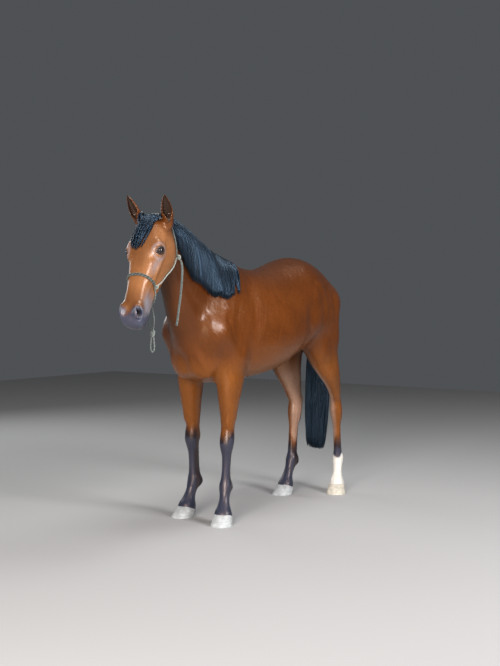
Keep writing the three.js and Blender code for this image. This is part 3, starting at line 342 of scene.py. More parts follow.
# head, along s: the same columns in l and d
HEAD = [
    (0.02, 0, -0.058, 0.07, 0.082, 0.08, 2.2, 2.2), (0.07, 0, -0.052, 0.086, 0.105, 0.126, 2.3, 2.4),
    (0.13, 0, -0.047, 0.092, 0.113, 0.157, 2.5, 2.6), (0.2, 0, -0.042, 0.093, 0.109, 0.166, 2.7, 2.6),
    (0.28, 0, -0.04, 0.083, 0.096, 0.156, 2.7, 2.4), (0.36, 0, -0.038, 0.07, 0.083, 0.133, 2.6, 2.3),
    (0.44, 0, -0.036, 0.062, 0.074, 0.11, 2.5, 2.2), (0.5, 0, -0.036, 0.063, 0.07, 0.098, 2.4, 2.2),
    (0.555, 0, -0.038, 0.065, 0.064, 0.084, 2.3, 2.2), (0.595, 0, -0.042, 0.056, 0.05, 0.066, 2.2, 2.2),
]
MOUTH = [(0.62, -0.086, 0.0), (0.59, -0.086, 0.042), (0.545, -0.08, 0.058), (0.5, -0.074, 0.064)]
FACE_VEINS = [
    [(0.3, -0.062, 0.076), (0.34, -0.03, 0.07), (0.372, 0.0, 0.066), (0.41, 0.012, 0.058)],
    [(0.34, -0.03, 0.07), (0.395, -0.03, 0.066), (0.45, -0.02, 0.06)],
    [(0.236, -0.1, 0.086), (0.262, -0.078, 0.084), (0.3, -0.062, 0.076)],
]
# limbs: height, middle forward of the line, half width, front, back
FORE = [
    (0.03, 0.062, 0.054, 0.058, 0.054), (0.062, 0.058, 0.0515, 0.054, 0.055), (0.085, 0.054, 0.046, 0.048, 0.051),
    (0.11, 0.044, 0.0365, 0.039, 0.043), (0.14, 0.03, 0.0305, 0.034, 0.038), (0.17, 0.015, 0.0315, 0.0355, 0.041),
    (0.2, 0.003, 0.037, 0.04, 0.05), (0.225, -0.001, 0.0375, 0.039, 0.05), (0.255, -0.001, 0.0305, 0.034, 0.044),
    (0.29, 0, 0.0265, 0.031, 0.04), (0.35, 0, 0.026, 0.031, 0.039), (0.4, 0.002, 0.0295, 0.034, 0.039),
    (0.432, 0.006, 0.037, 0.039, 0.04), (0.465, 0.008, 0.0425, 0.043, 0.044), (0.5, 0.006, 0.0425, 0.042, 0.046),
    (0.545, 0, 0.0395, 0.04, 0.042), (0.61, 0, 0.044, 0.048, 0.048), (0.69, 0.003, 0.053, 0.06, 0.056),
    (0.77, 0.006, 0.061, 0.072, 0.069), (0.85, 0.005, 0.066, 0.084, 0.082), (0.93, -0.002, 0.064, 0.095, 0.094),
    (1, -0.014, 0.055, 0.1, 0.105),
]
HIND = [
    (0.03, 0.072, 0.053, 0.056, 0.053), (0.062, 0.068, 0.05, 0.052, 0.054), (0.085, 0.063, 0.045, 0.047, 0.05),
    (0.11, 0.052, 0.036, 0.039, 0.043), (0.145, 0.034, 0.0305, 0.034, 0.038), (0.18, 0.015, 0.032, 0.0355, 0.042),
    (0.21, 0.002, 0.037, 0.04, 0.05), (0.235, -0.001, 0.0375, 0.039, 0.05), (0.268, 0, 0.0295, 0.033, 0.042),
    (0.31, 0.002, 0.0268, 0.032, 0.04), (0.38, 0.004, 0.0262, 0.033, 0.039), (0.45, 0.006, 0.028, 0.035, 0.04),
    (0.51, 0.008, 0.037, 0.044, 0.046), (0.56, 0.01, 0.0415, 0.048, 0.05), (0.61, 0.014, 0.037, 0.046, 0.056),
    (0.66, 0.026, 0.035, 0.058, 0.058), (0.72, 0.052, 0.044, 0.077, 0.066), (0.79, 0.09, 0.059, 0.103, 0.086),
    (0.87, 0.13, 0.074, 0.132, 0.112), (0.95, 0.165, 0.086, 0.158, 0.138), (1.05, 0.195, 0.095, 0.182, 0.168),
    (1.15, 0.205, 0.096, 0.192, 0.19), (1.25, 0.205, 0.08, 0.176, 0.18),
]
SPEC = {"fore": dict(pivot=1.08, ankle=0.095, rows=FORE, twist=(0.45, 0.85)),
        "hind": dict(pivot=1.18, ankle=0.104, rows=HIND, twist=(0.5, 1.0))}
# each leg: its line at the pivot, the middle of its hoof, degrees of toe-out
LEGS = {
    "left_fore": dict(kind="fore", top=(0.43, 0.135), hoof=(0.565, 0.162), out=22),
    "right_fore": dict(kind="fore", top=(0.445, -0.155), hoof=(0.483, -0.192), out=-10),
    "left_hind": dict(kind="hind", top=(-0.735, 0.13), hoof=(-0.742, 0.15), out=24),
    "right_hind": dict(kind="hind", top=(-0.755, -0.13), hoof=(-0.506, -0.128), out=-4),
}
GROOVES = [
    ([(0.29, 0.15, 1.42), (0.325, 0.215, 1.25), (0.35, 0.24, 1.08), (0.375, 0.215, 0.95)], 0.045, 0.008),
    ([(0.5, 0.12, 1.4), (0.6, 0.18, 1.24), (0.65, 0.19, 1.16)], 0.04, 0.006),
    ([(0.71, 0, 1.16), (0.7, 0, 0.88)], 0.026, 0.016),
    ([(0.62, 0.15, 0.985), (0.56, 0.19, 0.93), (0.5, 0.205, 0.9)], 0.03, 0.006),
    ([(-0.255, 0.255, 1.22), (-0.25, 0.25, 1.1), (-0.21, 0.215, 0.96)], 0.06, 0.012),
    ([(-0.555, 0.22, 1.3), (-0.585, 0.235, 1.2), (-0.585, 0.24, 1.08), (-0.54, 0.22, 0.95)], 0.03, 0.01),
    ([(-0.76, 0, 1.25), (-0.745, 0, 1.05), (-0.68, 0, 0.9)], 0.03, 0.03),
]
# ears: distance along, half width, back, front
EAR = [
    (0, 0.025, 0.024, 0.027), (0.03, 0.03, 0.024, 0.026), (0.065, 0.033, 0.022, 0.022),
    (0.1, 0.0285, 0.018, 0.016), (0.135, 0.018, 0.012, 0.009), (0.155, 0.009, 0.007, 0.005),
    (0.168, 0.0015, 0.002, 0.0015),
]
EAR_RIM, EAR_WALL = 2.15, 0.0042
EARS = {
    "left": dict(base=(0.04, -0.02, 0.088), tip=(-0.067, 0.117, 0.098), face=(0.55, 0.55, 0.62)),
    "right": dict(base=(0.028, -0.016, -0.088), tip=(-0.068, 0.112, -0.126), face=(0.75, 0.6, -0.1)),
}

def neck_coords(x, y, z):
    along = unit(NECK_TOP - NECK_BASE)
    side = unit(vec(-along[1], along[0], 0))
    up = np.cross(along, side)
    dx, dy, dz = x - NECK_BASE[0], y - NECK_BASE[1], z - NECK_BASE[2]
    return [dx * a[0] + dy * a[1] + dz * a[2] for a in (along, side, up)]

def trunk(x, y, z):
    ya = np.abs(y)
    f = loft(x, y, z, TRUNK, 0.035, 0.06)
    f = join(f, loft(*neck_coords(x, y, z), NECK, 0.1, 0.06), 0.1)
    # shoulder blade, upper arm, triceps and breast
    f = join(f, muscle(x, ya, z, (0.385, 0.085, 1.4), (0.59, 0.132, 1.14), 0.098, 0.09, 0.75), 0.07)
    f = join(f, muscle(x, ya, z, (0.585, 0.138, 1.12), (0.45, 0.145, 0.98), 0.088, 0.078, 0.85), 0.07)
    f = join(f, muscle(x, ya, z, (0.36, 0.135, 1.19), (0.42, 0.145, 0.98), 0.105, 0.072, 0.8), 0.06)
    f = join(f, ball(x, ya, z, (0.61, 0.075, 1.0), (0.085, 0.08, 0.15)), 0.05)
    # croup, thigh and the point of the hip
    f = join(f, muscle(x, ya, z, (-0.36, 0.11, 1.37), (-0.62, 0.105, 1.28), 0.135, 0.125, 0.9), 0.06)
    f = join(f, muscle(x, ya, z, (-0.615, 0.1, 1.26), (-0.635, 0.11, 1.06), 0.122, 0.11, 0.9), 0.07)
    return join(f, ball(x, ya, z, (-0.37, 0.205, 1.345), (0.045, 0.03, 0.045)), 0.06)

# finer lines than the grooves: edges of single muscles, folds of the breast and the flank
FOLDS = [
    ([(0.4, 0.11, 1.47), (0.5, 0.19, 1.33), (0.56, 0.215, 1.18)], 0.021, 0.0054),
    ([(0.455, 0.215, 1.29), (0.49, 0.235, 1.16), (0.47, 0.235, 1.05)], 0.018, 0.0046),
    ([(0.56, 0.215, 1.18), (0.52, 0.23, 1.09), (0.455, 0.23, 1.02)], 0.018, 0.0054),
    ([(0.4, 0.235, 1.22), (0.425, 0.24, 1.1), (0.44, 0.225, 1.0)], 0.016, 0.0041),
    ([(0.69, 0.07, 1.11), (0.69, 0.12, 1.01), (0.64, 0.155, 0.93)], 0.021, 0.0068),
    ([(0.7, 0.03, 1.06), (0.705, 0.075, 0.96), (0.66, 0.105, 0.89)], 0.016, 0.0054),
    ([(0.6, 0.19, 1.06), (0.58, 0.2, 0.98), (0.54, 0.2, 0.92)], 0.016, 0.0046),
    ([(-0.33, 0.225, 1.4), (-0.42, 0.265, 1.28), (-0.44, 0.265, 1.12), (-0.42, 0.235, 1.0)], 0.029, 0.0076),
    ([(-0.42, 0.2, 1.43), (-0.5, 0.245, 1.31), (-0.52, 0.255, 1.16), (-0.5, 0.235, 1.02)], 0.019, 0.005),
    ([(-0.25, 0.245, 1.12), (-0.32, 0.235, 1.04), (-0.38, 0.215, 0.98)], 0.018, 0.0047),
    ([(-0.3, 0.235, 1.05), (-0.35, 0.215, 0.985), (-0.4, 0.195, 0.95)], 0.013, 0.0032),
    ([(-0.64, 0.19, 1.33), (-0.69, 0.19, 1.2), (-0.68, 0.18, 1.05)], 0.026, 0.0042),
    ([(0.3, 0.185, 0.985), (0.05, 0.215, 0.965), (-0.18, 0.185, 0.975)], 0.026, 0.0028),
]
RIBS = [([(x + 0.06, 0.22, 1.36), (x, 0.275, 1.2), (x + 0.01, 0.245, 1.04)], 0.016, 0.0011)
        for x in (0.22, 0.13, 0.04, -0.05, -0.14)]
VEINS = [
    [(0.33, 0.235, 1.02), (0.2, 0.262, 1.035), (0.05, 0.272, 1.02), (-0.11, 0.262, 1.03),
     (-0.22, 0.235, 1.01)],
    [(0.2, 0.262, 1.035), (0.13, 0.275, 1.085), (0.06, 0.283, 1.1)],
    [(0.62, 0.13, 1.13), (0.59, 0.19, 1.03), (0.555, 0.195, 0.95), (0.545, 0.175, 0.86)],
    [(-0.11, 0.262, 1.03), (-0.18, 0.265, 1.1), (-0.21, 0.262, 1.14)],
]

def relief(x, y, z):
    """Grooves between the muscles of the trunk and raised veins, on both sides."""
    ya, c = np.abs(y), 0
    for points, width, depth in GROOVES + FOLDS + RIBS:
        c = c + crease(x, ya, z, points, width, depth)
    for vein in VEINS:
        c = c - crease(x, ya, z, vein, 0.0065, 0.0026)
    s, v, w = neck_coords(x, y, z)
    jugular = [(-0.02, 0.135, -0.15), (0.15, 0.112, -0.135), (0.32, 0.09, -0.11), (0.5, 0.075, -0.085)]
    c = c + crease(s, np.abs(v), w, jugular, 0.022, 0.006)
    for fold in THROAT_FOLDS:
        c = c + crease(s, np.abs(v), w, fold, 0.01, 0.003)
    return c

THROAT_FOLDS = [
    [(0.545, 0.07, 0.04), (0.53, 0.085, -0.02), (0.52, 0.075, -0.08)],
    [(0.575, 0.07, 0.03), (0.565, 0.08, -0.02), (0.56, 0.07, -0.07)],
]

def ear_axes(ear):
    base, tip, face = (vec(*ear[k]) for k in ("base", "tip", "face"))
    along = unit(tip - base)
    out = unit(face - along * (face @ along))
    return base, along, np.cross(out, along), out

def ear_opening(s, d, l, ear):
    """Negative in the hollow that leads the cup of the ear down into its root."""
    base, along, _, out = ear_axes(ear)
    return muscle(s, d, l, base + along * 0.006 + out * 0.028, base + along * 0.046 + out * 0.028, 0.003, 0.0075)

def ear_root(s, d, l, ear):
    base, along, across, out = ear_axes(ear)
    p = s - base[0], d - base[1], l - base[2]
    t, u, w = (p[0] * a[0] + p[1] * a[1] + p[2] * a[2] for a in (along, across, out))
    bottom = np.sqrt(np.clip(1 - (np.maximum(0.014 - t, 0) / 0.044) ** 2, 0.02, 1))
    half, back, front = [k * bottom for k in spline(t, EAR)]
    level = np.sqrt((u / half) ** 2 + (w / np.where(w > 0, front, back)) ** 2) + 1e-6
    radial = (level - 1) * np.clip(np.sqrt(u * u + w * w) / level, 0.008, None)
    return np.maximum(np.maximum(radial, t - 0.05), -t - 0.03)

EYE_FACING, EYE_LENGTH = vec(0.28, 0.5, 0.82), vec(0.62, 0.78, 0)

def eye_coords(s, d, la):
    """Along the lids towards the nose, up across them, and out of the eye."""
    w = unit(EYE_FACING)
    u = EYE_LENGTH
    u = unit(u - w * (u @ w))
    a, b, c = s - EYE[0], d - EYE[1], la - EYE[2]
    return [a * k[0] + b * k[1] + c * k[2] for k in (u, np.cross(w, u), w)]

EYE_RADIUS, LID = 0.0215, 0.003

def head(x, y, z):
    s, d, l = to_head(np.stack([x, y, z], 1)).T
    la = np.abs(l)
    f = loft(s, l, d, HEAD, 0.045, 0.03)
    # brow over the eye and the hollow of the temple
    f = join(f, ball(s, d, la, (0.222, 0.004, 0.074), (0.056, 0.042, 0.028)), 0.035)
    f = join(f, muscle(s, d, la, (0.178, 0.028, 0.078), (0.222, 0.034, 0.086), 0.013, 0.012), 0.022)
    f = f + crease(s, d, la, [(0.115, 0.022, 0.08), (0.15, 0.016, 0.088)], 0.022, 0.006)
    # cheek muscle, facial crest and the hollow under it
    f = join(f, ball(s, d, la, (0.168, -0.118, 0.046), (0.1, 0.09, 0.04)), 0.03)
    f = join(f, muscle(s, d, la, (0.262, -0.034, 0.08), (0.365, -0.044, 0.062), 0.012, 0.008), 0.02)
    f = f + crease(s, d, la, [(0.3, -0.07, 0.078), (0.39, -0.066, 0.064), (0.45, -0.056, 0.06)], 0.022, 0.004)
    # nostril wings, upper lip and chin
    f = join(f, ball(s, d, la, (0.558, 0.004, 0.042), (0.046, 0.034, 0.028)), 0.02)
    f = join(f, ball(s, d, l, (0.585, -0.034, 0.0), (0.038, 0.054, 0.056)), 0.02)
    f = join(f, ball(s, d, l, (0.56, -0.108, 0.0), (0.046, 0.028, 0.038)), 0.02)
    # nostrils: a comma that leads in and up
    f = carve(f, muscle(s, d, la, (0.545, 0.034, 0.054), (0.586, -0.002, 0.052), 0.01, 0.015), 0.008)
    f = carve(f, muscle(s, d, la, (0.582, 0.004, 0.05), (0.556, 0.008, 0.026), 0.011, 0.008), 0.006)
    # mouth, and the fold at its corner
    f = f + crease(s, d, la, MOUTH, 0.0045, 0.007)
    f = f + crease(s, d, la, [(0.5, -0.066, 0.066), (0.488, -0.084, 0.062)], 0.005, 0.002)
    # closed lids over the eyeball, opened later, and the folds above and below them
    u, v, w = eye_coords(s, d, la)
    f = join(f, np.sqrt(u * u + v * v + w * w) - EYE_RADIUS - LID, 0.012)
    front = np.exp(-(np.maximum(0.012 - w, 0) / 0.008) ** 2)
    f = f + front * 0.0022 * np.exp(-((np.hypot(u, v + 0.012) - 0.0345) / 0.0026) ** 2) * (v > 0)
    f = f + front * 0.0014 * np.exp(-((np.hypot(u, v + 0.01) - 0.0405) / 0.0024) ** 2) * (v > 0.004)
    f = f + front * 0.0015 * np.exp(-((np.hypot(u, v - 0.016) - 0.0365) / 0.0026) ** 2) * (v < 0)
    # veins of the face
    for vein in FACE_VEINS:
        f = f - crease(s, d, la, vein, 0.0045, 0.0018)
    for ear in EARS.values():
        f = join(f, ear_root(s, d, l, ear), 0.028)
    for ear in EARS.values():
        f = carve(f, ear_opening(s, d, l, ear), 0.005)
    return f

def ankle(leg):
    a, reach = np.radians(leg["out"]), SPEC[leg["kind"]]["ankle"]
    return leg["hoof"][0] - reach * np.cos(a), leg["hoof"][1] - reach * np.sin(a)

def leg_turn(z, leg):
    lo, hi = SPEC[leg["kind"]]["twist"]
    return np.radians(leg["out"]) * smooth((hi - z) / (hi - lo))

def leg_line(z, leg):
    spec, (ax, ay) = SPEC[leg["kind"]], ankle(leg)
    k = np.clip((spec["pivot"] - z) / (spec["pivot"] - 0.22), 0, 1)
    return leg["top"][0] + (ax - leg["top"][0]) * k, leg["top"][1] + (ay - leg["top"][1]) * k

def leg_coords(x, y, z, leg):
    """Forward and outward from the leg's own line."""
    (cx, cy), a = leg_line(z, leg), leg_turn(z, leg)
    c, n, dx, dy = np.cos(a), np.sin(a), x - cx, y - cy
    return dx * c + dy * n, (dy * c - dx * n) * np.sign(leg["top"][1])

def leg_world(lx, ly, z, leg):
    (cx, cy), a = leg_line(z, leg), leg_turn(z, leg)
    c, n, ly = np.cos(a), np.sin(a), ly * np.sign(leg["top"][1])
    return np.stack([cx + lx * c - ly * n, cy + lx * n + ly * c, z + 0 * lx], -1)

def limb(lx, ly, z, leg):
    t = np.asarray(SPEC[leg["kind"]]["rows"], float)
    middle, side, front, back = spline(z, t)
    dx = lx - middle
    hw = np.where(dx > 0, front, back)
    above, below = np.maximum(z - t[-1, 0], 0), np.maximum(t[0, 0] - z, 0)
    level = (np.abs(dx / hw) ** 2.2 + np.abs(ly / side) ** 2.2 + (above / 0.1 + below / 0.02) ** 2.2) ** (1 / 2.2)
    away = np.sqrt(dx * dx + ly * ly + (above + below) ** 2) + 1e-6
    return (level + 1e-6 - 1) * np.clip(away / (level + 1e-6), side * 0.5, None)

def leg_shape(x, y, z, leg):
    lx, ly = leg_coords(x, y, z, leg)
    f = limb(lx, ly, z, leg)
    if leg["kind"] == "fore":
        # bone behind the knee, sesamoids, muscles of the forearm
        f = join(f, ball(lx, ly, z, (-0.034, 0.004, 0.486), (0.018, 0.02, 0.03)), 0.03)
        f = join(f, ball(lx, ly, z, (-0.034, 0.0, 0.205), (0.015, 0.022, 0.024)), 0.03)
        f = join(f, muscle(lx, ly, z, (0.024, 0.014, 0.85), (0.022, 0.01, 0.6), 0.05, 0.026), 0.03)
        f = join(f, muscle(lx, ly, z, (-0.04, 0.008, 0.84), (-0.018, 0.006, 0.62), 0.05, 0.028), 0.03)
    else:
        # point of the hock, Achilles tendon, sesamoids, stifle, muscles of the second thigh
        f = join(f, muscle(lx, ly, z, (-0.038, 0.0, 0.622), (-0.02, 0.0, 0.5), 0.02, 0.022), 0.03)
        f = join(f, muscle(lx, ly, z, (-0.04, 0.0, 0.63), (0.02, 0.004, 0.8), 0.012, 0.03), 0.03)
        f = join(f, ball(lx, ly, z, (-0.034, 0.0, 0.214), (0.015, 0.022, 0.024)), 0.03)
        f = join(f, ball(lx, ly, z, (0.262, 0.034, 0.975), (0.055, 0.045, 0.08)), 0.06)
        f = join(f, muscle(lx, ly, z, (0.21, 0.01, 0.88), (0.06, 0.01, 0.68), 0.066, 0.034, 0.8), 0.03)
    # groove between the cannon bone and the tendons, on both sides, and the tendons' own
    low, high = (0.255, 0.42) if leg["kind"] == "fore" else (0.265, 0.5)
    lya = np.abs(ly)
    f = f + crease(lx, lya, z, [(-0.006, 0.029, low), (-0.004, 0.03, high)], 0.007, 0.0045)
    f = f + crease(lx, lya, z, [(-0.023, 0.022, low), (-0.022, 0.024, high)], 0.005, 0.002)
    # hollow behind the pastern, between the bulbs of the heel
    return f + crease(lx, ly, z, [(-0.012, 0, 0.062), (-0.022, 0, 0.13)], 0.01, 0.004)

def flesh(x, y, z):
    f = trunk(x, y, z)
    front = x > 0.86
    if front.any():
        f[front] = join(f[front], head(x[front], y[front], z[front]), 0.035)
    f = f + relief(x, y, z)
    for leg in LEGS.values():
        lx = x - leg["top"][0]
        near = (z < 1.45) & (y * leg["top"][1] > -0.02) & (lx > -0.5) & (lx < 0.62)
        if near.any():
            f[near] = join(f[near], leg_shape(x[near], y[near], z[near], leg), 0.05)
    return f

def flesh_at(points):
    out = np.empty(len(points))
    for i in range(0, len(points), 60000):
        out[i:i + 60000] = flesh(*points[i:i + 60000].T)
    return out

def slope_at(points, value=None, step=0.0008):
    value = flesh_at(points) if value is None else value
    return np.stack([(flesh_at(points + step * e) - value) / step for e in np.eye(3)], 1)

def settle(points, level, rounds=2):
    """Moves points onto the surface where the distance is level."""
    for _ in range(rounds):
        value = flesh_at(points)
        g = slope_at(points, value)
        points = points - g * np.clip((value - level) / ((g * g).sum(1) + 1e-9), -0.012, 0.012)[:, None]
    return points

def normal_at(points):
    return unit(slope_at(points, step=0.002))

# ---------------------------------------------------------------- skin
# Thin, supple skin in one piece over the whole horse, from the rims of the eyelids and the
# ears to the hooves. It is a net of small cells laid on the flesh, finer on the legs and
# the head, and lies below the tips of the coat by the coat's depth.
COAT_DEPTH = 0.0015
CORNERS = [(i, j, k) for i in (0, 1) for j in (0, 1) for k in (0, 1)]

def net(lo, hi, cell, block=8):
    """Surface net on a sparse grid: one point in each cell that the surface crosses."""
    lo, hi = np.array(lo, float), np.array(hi, float)
    blocks = np.ceil((hi - lo) / (cell * block)).astype(int)
    grid = np.stack(np.meshgrid(*map(np.arange, blocks), indexing="ij"), -1).reshape(-1, 3)
    grid = grid[np.abs(flesh_at(lo + (grid + 0.5) * cell * block)) < cell * block * 1.5]
    offset = np.stack(np.meshgrid(*[np.arange(block + 1)] * 3, indexing="ij"), -1).reshape(-1, 3)
    at = (grid[:, None] * block + offset).reshape(-1, 3)
    value = (flesh_at(lo + at * cell) + COAT_DEPTH).reshape(len(grid), *[block + 1] * 3)
    corner = {c: value[:, c[0]:c[0] + block, c[1]:c[1] + block, c[2]:c[2] + block] for c in CORNERS}
    inside = sum((v < 0).astype(int) for v in corner.values())
    b, i, j, k = np.nonzero((inside > 0) & (inside < 8))
    corner = {c: v[b, i, j, k] for c, v in corner.items()}
    total, count = np.zeros((len(b), 3)), np.zeros(len(b))
    for c in CORNERS:
        for axis in range(3):
            if c[axis]:
                continue
            e = tuple(1 if n == axis else c[n] for n in range(3))
            crossed = (corner[c] < 0) != (corner[e] < 0)
            p = np.tile(vec(*c), (len(b), 1))
            p[:, axis] += corner[c] / np.where(crossed, corner[c] - corner[e], 1)
            total[crossed] += p[crossed]
            count += crossed
    place = grid[b] * block + np.stack([i, j, k], -1)
    points = lo + (place + total / count[:, None]) * cell
    width = blocks * block + 2
    number = lambda g: (g[:, 0] * width[1] + g[:, 1]) * width[2] + g[:, 2]
    order = np.argsort(number(place))
    known = number(place)[order]
    def find(g):
        at = np.clip(np.searchsorted(known, number(g)), 0, len(known) - 1)
        return np.where(known[at] == number(g), order[at], -1)
    quads = []
    for axis in range(3):
        step = np.eye(3, dtype=int)
        u, w = step[(axis + 1) % 3], step[(axis + 2) % 3]
        end = corner[tuple(step[axis])]
        crossed = (corner[0, 0, 0] < 0) != (end < 0)
        g = place[crossed]
        q = np.stack([find(g), find(g - u), find(g - u - w), find(g - w)], -1)
        q[end[crossed] < 0] = q[end[crossed] < 0][:, ::-1]
        quads.append(q)
    quads = np.concatenate(quads)
    return points, quads[(quads >= 0).all(1)].tolist()

def refine(points, faces, chosen):
    """Splits the chosen faces into one quad for each corner; their neighbours only gain points."""
    points, middle, out = list(points), {}, []
    def half(a, b):
        key = (a, b) if a < b else (b, a)
        if key not in middle:
            middle[key] = len(points)
            points.append((points[a] + points[b]) / 2)
        return middle[key]
    for f, pick in zip(faces, chosen):
        if pick:
            c = len(points)
            points.append(sum(points[v] for v in f) / len(f))
            halves = [half(a, b) for a, b in zip(f, f[1:] + f[:1])]
            out += [[v, halves[n], c, halves[n - 1]] for n, v in enumerate(f)]
        else:
            out.append(f)
    result = []
    for f in out:
        g = []
        for a, b in zip(f, f[1:] + f[:1]):
            g.append(a)
            key = (a, b) if a < b else (b, a)
            if key in middle:
                g.append(middle[key])
        result.append(g)
    return np.array(points), result

def middles(points, faces):
    return np.array([points[f].mean(0) for f in faces])

def cut_away(points, faces, level, region, snap=0.25):
    """Removes what lies at level < 0 of the faces in the region, along a clean line, and
    returns the edges of that line."""
    points, value, on = points.copy(), level(points), set()
    busy = [n for n, r in enumerate(region) if r]
    for n in busy:
        f = faces[n]
        for a, b in zip(f, f[1:] + f[:1]):
            if value[a] * value[b] < 0:
                t = value[a] / (value[a] - value[b])
                for v, w, s in ((a, b, t), (b, a, 1 - t)):
                    if s < snap and v not in on and value[v] * value[w] < 0:
                        points[v] += (points[w] - points[v]) * s
                        value[v] = 0
                        on.add(v)
    points, crossing, kept = list(points), {}, []
    for n, f in enumerate(faces):
        if not region[n]:
            kept.append(f)
            continue
        if min(value[v] for v in f) >= 0:
            if max(value[v] for v in f) > 0:
                kept.append(f)
            continue
        g = []
        for a, b in zip(f, f[1:] + f[:1]):
            if value[a] >= 0:
                g.append(a)
            if value[a] * value[b] < 0:
                key = (a, b) if a < b else (b, a)
                if key not in crossing:
                    t = value[a] / (value[a] - value[b])
                    crossing[key] = len(points)
                    points.append(points[a] + (points[b] - points[a]) * t)
                    on.add(crossing[key])
                g.append(crossing[key])
        if len(g) > 2 and any(v >= len(value) or value[v] > 0 for v in g):
            kept.append(g)
    sides = {(a, b) for f in kept for a, b in zip(f, f[1:] + f[:1]) if a in on and b in on}
    return np.array(points), kept, [(a, b) for a, b in sides if (b, a) not in sides]

def zip_loops(points, edges, centre, axis, ring):
    """Faces between an open edge and a ring of points around the same axis."""
    side = unit(np.cross(axis, vec(0.31, 0.87, 0.37)))
    third = np.cross(axis, side)
    angle = lambda p: np.arctan2((p - centre) @ third, (p - centre) @ side)
    loop = sorted({v for e in edges for v in e}, key=lambda v: angle(points[v]))
    ring = sorted(ring, key=lambda v: angle(points[v]))
    a, b = [angle(points[v]) for v in loop], [angle(points[v]) for v in ring]
    i, j, faces = 0, 0, []
    while i < len(loop) or j < len(ring):
        next_a = a[i + 1] if i + 1 < len(a) else (a[0] + 2 * np.pi if i < len(a) else 9e9)
        next_b = b[j + 1] if j + 1 < len(b) else (b[0] + 2 * np.pi if j < len(b) else 9e9)
        p, q = loop[i % len(loop)], ring[j % len(ring)]
        if next_a <= next_b:
            faces.append([p, loop[(i + 1) % len(loop)], q])
            i += 1
        else:
            faces.append([p, ring[(j + 1) % len(ring)], q])
            j += 1
    forward = {(x, y) for x, y in edges}
    flip = any((f[0], f[1]) in forward for f in faces)
    return [f[::-1] for f in faces] if flip else faces

NECK_SEAM = 0.45      # where the head's finer net takes over, along the neck
def from_seam(points):
    return neck_coords(*points.T)[0] - NECK_SEAM

def half_net(lo, hi, cell, side):
    """The net on one side of the seam, with its open edge a little short of it."""
    points, faces = net(lo, hi, cell)
    points = settle(points, -COAT_DEPTH)
    level = lambda p: side * from_seam(p) - 0.003
    value = level(points)
    faces = [f for f in faces if max(value[f]) > 0]
    near = [min(value[f]) < 0 for f in faces]
    points, faces, edge = cut_away(points, faces, level, near)
    return points, faces, edge

body_points, body_faces, body_edge = half_net((-1.0, -0.44, -0.05), (1.15, 0.44, 1.9), 0.0144, -1)
face_points, face_faces, face_edge = half_net((0.66, -0.2, 1.05), (1.5, 0.42, 1.98), 0.0052, 1)

def refine_where(points, faces, near):
    old = len(points)
    points, faces = refine(points, faces, near(middles(points, faces)))
    points[old:] = settle(points[old:], -COAT_DEPTH)
    return points, faces

LEG_FINE = 0.72
body_points, body_faces = refine_where(body_points, body_faces, lambda m: m[:, 2] < LEG_FINE)

def face_detail(reach):
    """Near the eyes, the nostrils and the mouth, by the given reach for each."""
    def near(m):
        s, d, l = to_head(m).T
        la = np.abs(l)
        eye = np.sqrt((s - EYE[0]) ** 2 + (d - EYE[1]) ** 2 + (la - EYE[2]) ** 2)
        nostril = np.sqrt((s - 0.57) ** 2 + (d - 0.012) ** 2 + (la - 0.044) ** 2)
        return (eye < reach[0]) | (nostril < reach[1]) | (line_distance(s, d, la, MOUTH) < reach[2])
    return near

face_points, face_faces = refine_where(face_points, face_faces, face_detail((0.046, 0.044, 0.012)))
face_points, face_faces = refine_where(face_points, face_faces, face_detail((0.031, 0.026, 0.006)))

# the eyelids open along an almond, and their rims turn in to the eyeball
def eye_frame(side):
    w = unit(EYE_FACING)
    u = unit(EYE_LENGTH - w * (EYE_LENGTH @ w))
    flip = vec(1, 1, side)
    return [from_head(EYE * flip)] + [(k * flip) @ HEAD_AXES for k in (u, np.cross(w, u), w)]

def in_eye(points, side):
    centre, u, v, w = eye_frame(side)
    return (points - centre) @ np.array([u, v, w]).T

def almond(points, side):
    u, v, w = in_eye(points, side).T
    opening = np.maximum(np.hypot(u, v + 0.0085) - 0.025, np.hypot(u, v - 0.0109) - 0.0259)
    return np.where(w > 0, opening, 1)

rim_points = []
for side in (1, -1):
    centre, u, v, w = eye_frame(side)
    near = np.linalg.norm(middles(face_points, face_faces) - centre, axis=1) < 0.034
    face_points, face_faces, edge = cut_away(face_points, face_faces, lambda p: almond(p, side), near)
    rim = sorted({p for e in edge for p in e})
    out = unit(face_points[rim] - centre)
    away = out - (out @ w)[:, None] * w
    rings = [face_points[rim]]
    for radius, turn in ((LID * 0.72, -0.02), (LID * 0.25, -0.03), (0.0003, 0.0), (0.0003, 0.3)):
        rings.append(centre + (EYE_RADIUS + radius) * unit(out + turn * unit(away)))
    numbers = [dict(zip(rim, rim))]
    for ring in rings[1:]:
        numbers.append(dict(zip(rim, range(len(face_points), len(face_points) + len(rim)))))
        face_points = np.vstack([face_points, ring])
    for a, b in edge:
        for inner, outer in zip(numbers[1:], numbers):
            face_faces.append([outer[b], outer[a], inner[a], inner[b]])
    rim_points += [n for ring in numbers for n in ring.values()]

